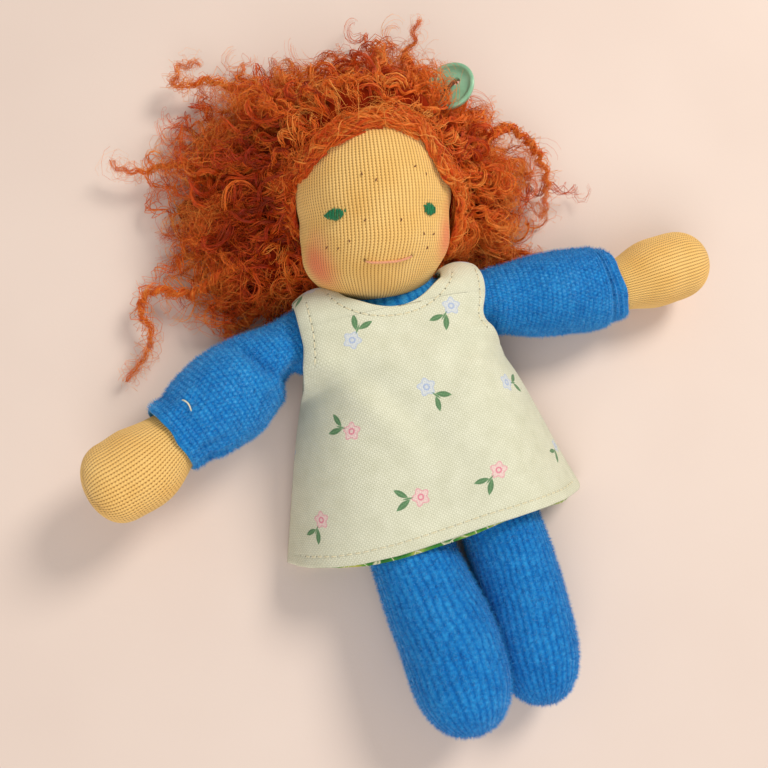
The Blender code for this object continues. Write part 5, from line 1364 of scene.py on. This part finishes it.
lo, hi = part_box("dress_button")
dc = (np.array(lo) + np.array(hi)) / 2 / MM
db, da, dbb, dax = button("dress_button_small", dc, (0, 0.62, -0.78), 2.1, 0.9, 0.35, 0.62, 0.4, 0.28, mat_shell, "torso", "dress_button", "dress_button")
lo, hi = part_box("dress_button_loop")
lc = (np.array(lo) + np.array(hi)) / 2 / MM
o = loop_thread("button_loop_thread", lc, (0, 0.62, -0.78), 2.3, 0.28, mat_cream, 0.05, 1.0, 80)
put(o, "torso", "thread", "dress_button_loop")

# ------------------------------------------------------------------ hair
edge_a, edge_r = np.array([e_[0] for e_ in HAIR_EDGE], float), np.array([e_[1] for e_ in HAIR_EDGE], float)
POLE = np.array((0, math.sin(math.radians(32)), -math.cos(math.radians(32))))


def reach(deg):
    return np.interp(deg, edge_a, edge_r)


def hair_cloud(p, grow=1.0):
    """Moves points out of the head, and off the table."""
    h = to_head(p)
    r = np.array(HEAD_R) + grow
    q = np.sqrt(np.sum((h / r) ** 2, axis=-1, keepdims=True))
    h = np.where(q < 1, h / np.maximum(q, 0.2), h)
    p = to_doll(h)
    p[..., 2] = np.maximum(p[..., 2], 0.5)
    return p


def even(c, m):
    s = along(c)
    return at(c, s, np.linspace(0, s[-1], m))


def wools(C, n, g, curl, pitch, spread, frizz, wave, stray=0.2, loose=1.6, start=0.35):
    """Fibres of many locks at once.  Each lock coils round its line, and its fibres wind and crimp about that coil.
    C: locks x points x 3; the other sizes are pairs, from and to.  Returns strands x points x 3."""
    K, m, _ = C.shape

    def u(lo, hi, *shape):
        return g.uniform(lo, hi, (K, *shape)) if shape else g.uniform(lo, hi, (K, 1))

    w = np.concatenate([np.zeros((K, 1)), np.cumsum(np.linalg.norm(np.diff(C, axis=1), axis=2), axis=1)], 1)
    f = np.linspace(0, 1, m)[None]
    _, a, b = carried(C)
    turns, way = u(*pitch), g.choice((-1.0, 1.0), (K, 1))
    amp = u(*curl) * smooth(f, 0.02, start) * (0.8 + 0.35 * np.sin(f * u(3, 8) + u(0, TAU)))
    th_ = u(0, TAU) + way * TAU * (w + 0.2 * turns * np.sin(w / turns * 1.7 + u(0, TAU))) / turns
    core = C + (a * np.cos(th_)[..., None] + b * np.sin(th_)[..., None]) * amp[..., None]
    _, a2, b2 = carried(core)
    f3 = f[:, None]
    rho = u(*spread, 1, 1) * np.sqrt(g.random((K, n, 1))) * (0.55 + 0.5 * loose * smooth(f3, 0, 1) ** 1.2 * g.uniform(0.4, 1.2, (K, n, 1)))
    rho = rho + (g.random((K, n, 1)) < stray) * g.uniform(0.4, 2.6, (K, n, 1)) * smooth(f3, 0.1, 1)
    phi = g.uniform(0, TAU, (K, n, 1)) + way[:, None] * (w / turns * TAU)[:, None] * g.uniform(0.2, 0.75, (K, n, 1))
    out = core[:, None] + (a2[:, None] * np.cos(phi)[..., None] + b2[:, None] * np.sin(phi)[..., None]) * rho[..., None]
    size = u(*frizz, 1, 1)
    for k_ in range(3):
        wl = wave * g.uniform(0.7, 1.6, (K, n, 1)) * (1, 1.8, 3.2)[k_]
        d = unit(g.normal(size=(K, n, 1, 3)))
        out = out + d * (np.sin(w[:, None] / wl * TAU + g.uniform(0, TAU, (K, n, 1))) * size * (1, 1.2, 1.6)[k_] * g.uniform(0.4, 1.2, (K, n, 1)) * smooth(f3, 0, 0.15))[..., None]
    return out.reshape(K * n, m, 3)


def bezier(p0, p1, p2, p3, n=60):
    t = np.linspace(0, 1, n)[:, None]
    return p0 * (1 - t) ** 3 + 3 * p1 * t * (1 - t) ** 2 + 3 * p2 * t * t * (1 - t) + p3 * t ** 3


class Fleece:
    """Collects strands, and makes pieces of them."""

    def __init__(self, name, grow=1.0):
        self.name, self.grow, self.made, self.faces = name, grow, 0, 0

    def add(self, lines, radius, tint, g, nodes=()):
        """lines: strands x points x 3; tint: one number a strand."""
        lines = hair_cloud(lines, self.grow)
        S, m = lines.shape[:2]
        f = np.linspace(0, 1, m)
        each = (m - 1) * 3 + 2
        rad = radius * g.uniform(0.75, 1.2, (S, 1)) * (1 - 0.7 * smooth(f, 0.5, 1))[None] * (0.6 + 0.4 * smooth(f, 0, 0.06))[None]
        # painted shade: strands darker near x -25, y 44, beside the face on the side away from the key light
        tint = np.clip(np.asarray(tint, float).reshape(S, 1) + g.normal(size=(S, 1)) * 0.14 - 0.3 * bell(np.hypot(lines[..., 0] + 25, lines[..., 1] - 44), 0, 12), 0, 1)
        room = max(1, 90000 // each)
        for i in range(0, S, room):
            v, q, t = tubes(lines[i:i + room], rad[i:i + room])
            k = len(lines[i:i + room])
            o = make(f"{self.name}_{self.made + 1}", v, [q, t], mat_hair, None,
                     {"tint": np.repeat(tint[i:i + room].ravel(), 3), "tip": np.repeat(np.broadcast_to(f, (k, m)).ravel(), 3)})
            hang(o, v)
            if nodes and i == 0:
                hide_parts(*nodes)
            self.made += 1
            self.faces += len(q) + len(t)


def hang(o, v):
    """Bakes the piece's place into its points, and works out a weight from its distance to the head that is not used.
    """
    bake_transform(o)
    d = np.hypot(v[:, 0] - HC[0], (v[:, 1] - HC[1]) * 0.8)
    w = 1 - 0.7 * smooth(d, 19, 44)


def root_at(deg, g, depth=None):
    """A place on the scalp under that bearing, and the way out of it."""
    e2 = np.array((math.cos(math.radians(deg)), math.sin(math.radians(deg))))
    ws = np.linspace(0.62, -0.95, 80)
    d = np.stack([e2[0] * np.sqrt(1 - ws ** 2), e2[1] * np.sqrt(1 - ws ** 2), ws], 1)
    ok = np.where(d @ POLE > 0.055)[0]
    wmax = ws[ok[0]] if len(ok) else -0.6
    w = wmax - (wmax + 0.92) * (g.random() ** 1.5 if depth is None else depth)
    d = np.array((e2[0] * math.sqrt(1 - w * w), e2[1] * math.sqrt(1 - w * w), w))
    p = d / math.sqrt(np.sum((d / np.array(HEAD_R)) ** 2))
    nrm = unit(p / np.array(HEAD_R) ** 2)
    return to_doll(p + nrm * 0.6), nrm @ AXES, w


def spread_lock(deg, g, far=None, sag=None):
    p0, nrm, w = root_at(np.clip(deg + g.normal() * 10, -60, 240), g)
    R = reach(deg) * (g.uniform(0.5, 1.0) if far is None else far)
    out2 = np.array((math.cos(math.radians(deg)), math.sin(math.radians(deg)), 0))
    z_end = (g.uniform(1.2, 9.5) if sag is None else sag) + 10 * max(0, 0.72 - R / reach(deg))
    p3 = np.array((HAIR_MID[0], HAIR_MID[1], 0)) + out2 * R + np.array((0, 0, z_end))
    sideways = np.cross(out2, (0, 0, 1)) * g.normal() * 5
    p1 = p0 + nrm * g.uniform(2.5, 7.0) + out2 * g.uniform(1, 5) + np.array((0, 0, g.uniform(0, 3)))
    p2 = p0 + (p3 - p0) * g.uniform(0.55, 0.8) + sideways + np.array((0, 0, g.uniform(0, 7) * (1 if p0[2] > 8 else 0.4)))
    return hair_cloud(bezier(p0, p1, p2, p3), 1.2)


def underlayer(name, from_deg, to_deg, nodes, seed):
    """Low wool that the locks lie on, coloured dark as painted shade inside the hair mass."""
    n, m = 150, 60
    deg = np.linspace(from_deg, to_deg, n)
    f = np.linspace(0, 1, m)
    D, F = np.meshgrid(np.radians(deg), f, indexing="ij")
    R0 = 12.0
    R1 = reach(deg)[:, None] * (0.88 + 0.05 * np.sin(deg / 5.0)[:, None] + 0.04 * np.sin(deg / 2.3 + 1)[:, None])
    RR = R0 + (R1 - R0) * F
    x, y = HAIR_MID[0] + RR * np.cos(D), HAIR_MID[1] + RR * np.sin(D)
    top_z = 2.0 + 15.5 * (1 - F ** 1.7) ** 0.8
    P3 = np.stack([x, y, top_z], -1)
    top_z = top_z + (1.3 * ripple(P3, seed, 7) + 0.8 * ripple(P3, seed + 1, 3.4) + 0.4 * ripple(P3, seed + 2, 1.7)) * (1 - F ** 4)
    top_z = np.maximum(top_z, 1.4)
    low_z = np.full_like(top_z, 0.6)
    top_ = np.stack([x, y, top_z], -1)
    low_ = np.stack([x, y, low_z], -1)
    q, pick = grid(n, m, False)
    N = n * m
    idx = np.arange(N).reshape(n, m)
    rim = []
    for edge in (idx[0], idx[:, -1], idx[-1][::-1], idx[:, 0][::-1]):
        e0, e1 = edge[:-1], edge[1:]
        rim.append(np.stack([e0, e0 + N, e1 + N, e1], 1))
    v = np.vstack([top_.reshape(-1, 3), low_.reshape(-1, 3)])
    tint = 0.35 + 0.4 * ripple(v, seed + 4, 4)
    o = make(name, v, [q, q[:, ::-1] + N, np.concatenate(rim)], mat_under_shade, None, {"tint": tint, "tip": np.zeros(len(v))})
    outward(o)
    hang(o, v)
    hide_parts(*nodes)
    return o


# wool close to the scalp, in the dark under-wool colour as painted shade
n_, m_ = 120, 200
tt = np.linspace(0.03, math.radians(88.0), n_)
pp = np.linspace(0, TAU, m_, endpoint=False)
e1 = unit(np.cross(POLE, (1, 0, 0)))
e2 = np.cross(POLE, e1)
TT, PP = np.meshgrid(tt, pp, indexing="ij")
D = POLE * np.cos(TT)[..., None] + np.sin(TT)[..., None] * (e1 * np.cos(PP)[..., None] + e2 * np.sin(PP)[..., None])
base = D / np.sqrt(np.sum((D / np.array(HEAD_R)) ** 2, axis=-1, keepdims=True))
edge_in = 1 - smooth(TT, math.radians(78), math.radians(88))
thick = 0.35 + 3.2 * edge_in
Pd = to_doll(base)
thick = thick + edge_in * (0.9 * ripple(Pd, 301, 5) + 0.5 * ripple(Pd, 302, 2.4))
outer_ = to_doll(base + D * np.maximum(0.3, thick)[..., None])
outer_[..., 2] = np.maximum(outer_[..., 2], 0.5)
inner_ = to_doll(base + D * 0.08)
inner_[..., 2] = np.maximum(inner_[..., 2], 0.45)
rows_all = np.concatenate([outer_, inner_[::-1]])
o = capped("wool_scalp", rows_all, mat_under_shade, np.zeros((len(rows_all), m_ + 1, 2)), {"tint": np.full(rows_all.shape[:2], 0.4) + 0.3 * ripple(rows_all, 303, 4), "tip": np.zeros(rows_all.shape[:2])})
hang(o, np.zeros((len(o.data.vertices), 3)) + HC)
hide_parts("hair_scalp", "wig_cap")
underlayer("wool_under_right", 141, 222, ("hair_side_right",), 311)
underlayer("wool_under_crown", 52.5, 141, ("hair_crown",), 321)
underlayer("wool_under_left", -38, 52.5, ("hair_side_left",), 331)

g = np.random.default_rng(2024)
share = 1.0


def wander(c, g, amp, size):
    """Lets a path stray sideways in slow waves."""
    s = along(c)
    f = s / s[-1]
    for k_ in range(2):
        d = unit(g.normal(size=3) * (1, 1, 0.45))
        c = c + d * (amp * (1.0, 0.6)[k_] * np.sin(s / (size * (1.0, 0.55)[k_]) * TAU + g.uniform(0, TAU)) * smooth(f, 0, 0.4))[:, None]
    return c


def fan_top(deg, r):
    R1 = reach(deg) * 0.88
    F = np.clip((r - 12) / (R1 - 12), 0, 1)
    return 2.0 + 15.5 * (1 - F ** 1.7) ** 0.8


def ground_curl(g, deg, r, length, z_up):
    """A curl lying anywhere in the fan of hair, headed mostly outward."""
    h = math.radians(deg) + g.normal() * 0.9
    s = np.linspace(0, length, 30)
    head_ = h + g.normal() * 0.09 * s + 0.6 * np.sin(s / g.uniform(2.5, 5) + g.uniform(0, TAU))
    ds = s[1] - s[0]
    x = HAIR_MID[0] + r * math.cos(math.radians(deg)) + np.cumsum(np.cos(head_)) * ds
    y = HAIR_MID[1] + r * math.sin(math.radians(deg)) + np.cumsum(np.sin(head_)) * ds
    rr = np.hypot(x - HAIR_MID[0], y - HAIR_MID[1])
    z = fan_top(deg, rr) + z_up * np.sin(np.linspace(0.3, math.pi - 0.2, 30)) + 0.2
    return np.stack([x, y, z], 1)


def wool_height(d):
    """How high the wool stands on the head in that direction; it thins out to its edge."""
    return 0.35 + 3.2 * (1 - smooth(np.degrees(np.arccos(np.clip(d @ POLE, -1, 1))), 78, 88))


def scalp_curl(g, azimuth, polar, length, heading, lift):
    """A curl that lies on the head; polar counts degrees from the middle of the wig."""
    a0, t0 = azimuth, math.radians(polar)
    d0 = POLE * math.cos(t0) + math.sin(t0) * (e1 * math.cos(a0) + e2 * math.sin(a0))
    back = unit(POLE - d0 * np.dot(POLE, d0))
    sidew = np.cross(d0, back)
    tang = back * math.cos(heading) + sidew * math.sin(heading)
    s = np.linspace(0, length / 18.0, 30)[:, None]
    d = d0 * np.cos(s) + tang * np.sin(s)
    far = np.minimum(np.arccos(np.clip(d @ POLE, -1, 1)), math.radians(87))[:, None]
    d = POLE * np.cos(far) + unit(d - POLE * (d @ POLE)[:, None]) * np.sin(far)
    base_ = d / np.sqrt(np.sum((d / np.array(HEAD_R)) ** 2, axis=1, keepdims=True))
    up_ = wool_height(d) + 0.1 + max(0.2, lift - 0.8) * np.sin(np.linspace(0.25, math.pi * 0.85, 30))
    return to_doll(base_ + unit(base_ / np.array(HEAD_R) ** 2) * up_[:, None])


def hairline(az):
    """How far down the hair comes from the middle of the wig, in degrees, at that bearing round it."""
    d = POLE * math.cos(math.radians(87)) + math.sin(math.radians(87)) * (e1 * np.cos(az)[..., None] + e2 * np.sin(az)[..., None])
    return 91.0 + 15.5 * smooth(d[..., 1] * HEAD_R[1], 4, 13) + 19.0 * smooth(d[..., 0], 0.4, 0.95)


def swept(g, az, length):
    """A strand combed along the hairline, drawing back from it towards its end."""
    s = np.linspace(0, length / 18.0, 36)
    a = az + g.choice((-1.0, 1.0)) * s
    pol = np.radians(hairline(a) - g.uniform(0, 6) - g.uniform(3, 18) * (s / s[-1]) ** 1.4 + 1.4 * np.sin(s * g.uniform(6, 12) + g.uniform(0, TAU)))[:, None]
    d = POLE * np.cos(pol) + np.sin(pol) * (e1 * np.cos(a)[:, None] + e2 * np.sin(a)[:, None])
    base_ = d / np.sqrt(np.sum((d / np.array(HEAD_R)) ** 2, axis=1, keepdims=True))
    up_ = wool_height(d) + g.uniform(0.1, 1.5) * np.sin(np.linspace(0.15, math.pi * 0.8, 36))
    return to_doll(base_ + unit(base_ / np.array(HEAD_R) ** 2) * up_[:, None])


regions = (("right_low", 170, 222, 64), ("right_high", 125, 170, 70), ("crown", 75, 125, 62), ("left_high", 25, 75, 58), ("left_low", -38, 25, 58))
KINDS = ((0.44, 9, (1.2, 2.8), (6.5, 12.0), (0.5, 0.8), (0.06, 0.12), 2.2, 0.12),
         (0.34, 9, (0.9, 1.9), (4.6, 7.5), (0.6, 1.0), (0.12, 0.2), 1.7, 0.2),
         (0.22, 9, (0.5, 1.0), (3.4, 6.0), (1.2, 1.8), (0.24, 0.4), 1.9, 0.4))
long_ = Fleece("wool_long")
for name, d0, d1, locks in regions:
    for part, n, curl, pitch, spread, frizz, wave, stray in KINDS:
        K = max(2, int(round(locks * part * share)))
        C = []
        for i in range(K):
            deg = d0 + (d1 - d0) * (i + g.random()) / K
            c = wander(spread_lock(deg, g, far=g.uniform(0.58, 1.04)), g, g.uniform(1.0, 3.2), g.uniform(12, 20))
            C.append(even(hair_cloud(c, 1.2), 72))
        lines = wools(np.array(C), n, g, curl, pitch, spread, frizz, wave, stray)
        # painted shade: the locks on the doll's right, away from the key light, are allowed darker tints, the low ones
        # most
        long_.add(lines, 0.088, np.repeat(g.uniform(0.02 if name == "right_low" else 0.1 if name == "right_high" else 0.25, 0.85 if name == "right_low" else 1.0, K), n), g)
short = Fleece("wool_curls")
C = []
for i in range(int(330 * share)):
    deg = g.uniform(-38, 222)
    r = math.sqrt(g.uniform(14.0 ** 2, (0.93 * reach(deg)) ** 2))
    C.append(even(hair_cloud(ground_curl(g, deg, r, g.uniform(9, 20), g.uniform(0.5, 3.4)), 1.0), 34))
C = np.array(C)
for i0, n, curl, pitch, spread, frizz in ((0, 9, (1.2, 2.6), (5.5, 9.5), (0.5, 0.9), (0.07, 0.14)), (1, 9, (0.7, 1.6), (3.8, 6.2), (0.7, 1.2), (0.14, 0.26))):
    part = C[i0::2]
    short.add(wools(part, n, g, curl, pitch, spread, frizz, 1.5, 0.3, start=0.12), 0.085, np.repeat(g.uniform(0.15, 1.0, len(part)), n), g)
near_face = Fleece("wool_hairline", 0.2)
C = []
for i in range(int(210 * share)):
    C.append(even(scalp_curl(g, g.uniform(0, TAU), g.uniform(28, 84), g.uniform(8, 18), g.uniform(0, TAU), g.uniform(0.8, 3.0)), 34))
C = np.array(C)
for i0, n, curl, pitch, spread, frizz in ((0, 9, (0.8, 1.7), (4.6, 8.0), (0.5, 0.8), (0.07, 0.14)), (1, 9, (0.5, 1.1), (3.4, 5.6), (0.6, 1.1), (0.14, 0.24))):
    part = C[i0::2]
    near_face.add(wools(part, n, g, curl, pitch, spread, frizz, 1.5, 0.2, start=0.1), 0.086, np.repeat(g.uniform(0.48, 1.0, len(part)), n), g)
C = np.array([even(swept(g, g.uniform(0, TAU), g.uniform(7, 19)), 34) for i in range(int(400 * share))])
near_face.add(wools(C, 7, g, (0.15, 0.7), (4.0, 8.0), (0.35, 0.8), (0.05, 0.14), 1.8, 0.12, start=0.1), 0.085, np.repeat(g.uniform(0.35, 1.0, len(C)), 7), g)

LOCKS = {
    "lock_crown_right": ((-21.5, 83, 6), (-25, 85, 6.6), (-29, 85.6, 7), (-32.6, 84.6, 7), (-34.2, 87, 7.2), (-31, 89.8, 7.8), (-27.6, 89, 8.2)),
    "lock_temple_right": ((-41.6, 67, 6), (-45.4, 66.2, 6.8), (-49.2, 67.4, 6.6), (-52, 70.2, 6.2)),
    "lock_shoulder_right": ((-40.6, 35.6, 6), (-44.8, 37.5, 6), (-49.6, 38.6, 5.4), (-52.4, 35, 5), (-51, 30.2, 4.6), (-53, 25.6, 4), (-58.4, 20.6, 3.2)),
    "curl_neck_right": ((-30.6, 27.6, 4), (-34, 27.4, 4), (-35.2, 24.6, 3.6), (-32.4, 22.6, 3.2), (-29.4, 23.4, 3)),
    "lock_ring_left": ((39.6, 60.6, 7), (42.6, 56.6, 8), (44.6, 51, 8.4), (44.8, 45.4, 8), (43.2, 40.8, 7.6), (41.4, 36.4, 7.2)),
    "lock_neck_left": ((32.6, 29.8, 4), (35.6, 30.8, 4.2), (37.4, 28.6, 4), (40.2, 29.6, 3.6)),
    "lock_crown_tuft": ((19.6, 82, 9), (22, 84, 10.5), (22.6, 86.4, 12), (25, 88.4, 12.5))}
C = []
for name, pts in LOCKS.items():
    first = np.array(pts[0], float)
    deg = math.degrees(math.atan2(first[1] - HAIR_MID[1], first[0] - HAIR_MID[0]))
    deg = deg + 360 if deg < -60 else deg
    p0, nrm, w = root_at(deg, g, depth=0.3)
    lead = bezier(p0, p0 + nrm * 5, p0 + (first - p0) * 0.6 + np.array((0, 0, 3.5)), first, 30)
    C.append(even(np.vstack([lead[:-1], catmull(np.array(pts, float), 16)]), 88))
C = np.array(C)
named = Fleece("wool_locks")
named.add(wools(C, 34, g, (0.5, 0.75), (3.2, 4.4), (0.6, 0.85), (0.12, 0.18), 1.4, 0.15, 1.3), 0.1, np.full(len(C) * 34, 0.62), g, tuple(LOCKS))
named.add(wools(C, 12, g, (0.8, 1.1), (3.6, 4.6), (0.9, 1.2), (0.2, 0.3), 1.5, 0.45, 1.7), 0.06, np.full(len(C) * 12, 0.9), g)
# curls over the lower side of the button
C = []
for i in range(14):
    f_ = i / 13
    p0 = np.array((11.5 + 3.0 * f_, 58.5 - 2.5 * f_, 31.5))
    p3 = np.array((18.4 + 3.8 * g.random(), 66.6 - 10.0 * f_, 30.8 + 1.2 * g.random()))
    C.append(even(bezier(p0, p0 + (2, 2.5, 2.6), p3 + (-3.5, 0.5, 1.2), p3), 36))
named.add(wools(np.array(C), 7, g, (0.8, 1.6), (3.4, 5.2), (0.5, 1.1), (0.14, 0.26), 1.4, 0.4, start=0.1), 0.07, np.full(98, 0.75), g)

fly = Fleece("wool_strays")
C = []
for i in range(int(200 * share)):
    deg = g.uniform(-36, 220)
    c = spread_lock(deg, g, far=g.uniform(0.8, 1.06))
    c = wander(c[int(len(c) * g.uniform(0.25, 0.6)):], g, 2.5, 12)
    C.append(even(c, 44))
fly.add(wools(np.array(C), 4, g, (0.8, 2.4), (3.5, 7.0), (1.0, 1.8), (0.3, 0.5), 2.0, 0.6, 2.2), 0.038, g.uniform(0.65, 1.0, len(C) * 4), g)
for f_ in (long_, short, near_face, named, fly):
    print("hair", f_.name, f_.made, f_.faces)

# ------------------------------------------------------------------ floor, light and camera
bpy.ops.mesh.primitive_plane_add(size=3.0, location=(0, 0, 0))
floor = bpy.context.object
floor.name = "floor"
m, t, b = shader("floor_pale", 0.9, 0.1)
fc = ramp(t, noise(t, coords(t), 14, 3), [(0.3, lin(226, 208, 198)), (0.7, lin(232, 215, 205))])
plug(t, fc, b.inputs["Base Color"])
plug(t, bump(t, noise(t, coords(t), 1600, 2), 0.05, 0.3), b.inputs["Normal"])
floor.data.materials.append(m)
floor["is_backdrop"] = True


def area(name, place, aim, size, power, color):
    d = bpy.data.lights.new(name, "AREA")
    d.shape, d.size, d.energy, d.color = "DISK", size, power, color
    o = bpy.data.objects.new(name, d)
    bpy.context.scene.collection.objects.link(o)
    o.location = place
    o.rotation_euler = (Vector(aim) - Vector(place)).to_track_quat("-Z", "Y").to_euler()
    return o


area("key", (0.42, 0.26, 0.52), (0.0, 0.01, 0.01), 0.26, 3.2, (1.0, 0.94, 0.85))
area("fill", (-0.22, -0.5, 0.6), (0, 0, 0), 0.7, 3.3, (1.0, 0.97, 0.93))
world = bpy.data.worlds.new("studio")
bpy.context.scene.world = world
world.use_nodes = True
world.node_tree.nodes["Background"].inputs[0].default_value = (1.0, 0.965, 0.93, 1)
world.node_tree.nodes["Background"].inputs[1].default_value = 0.37

cam = bpy.data.cameras.new("camera")
cam.lens, cam.sensor_width, cam.sensor_fit = 41.25, 36.0, "HORIZONTAL"
cam.clip_start, cam.clip_end = 0.01, 20
cam_o = bpy.data.objects.new("camera", cam)
bpy.context.scene.collection.objects.link(cam_o)
fwd, right = unit((0.1502, 0.1752, -0.9730)), np.array((0.9637, -0.2456, 0.1045))
right = unit(right - fwd * np.dot(right, fwd))
up = np.cross(right, fwd)
cam_o.matrix_world = Matrix.Translation((-0.03334, -0.02703, 0.19460)) @ Matrix((tuple(right), tuple(up), tuple(-fwd))).transposed().to_4x4()
bpy.context.scene.camera = cam_o
bpy.context.scene.view_settings.view_transform = "Standard"

lo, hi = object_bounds()
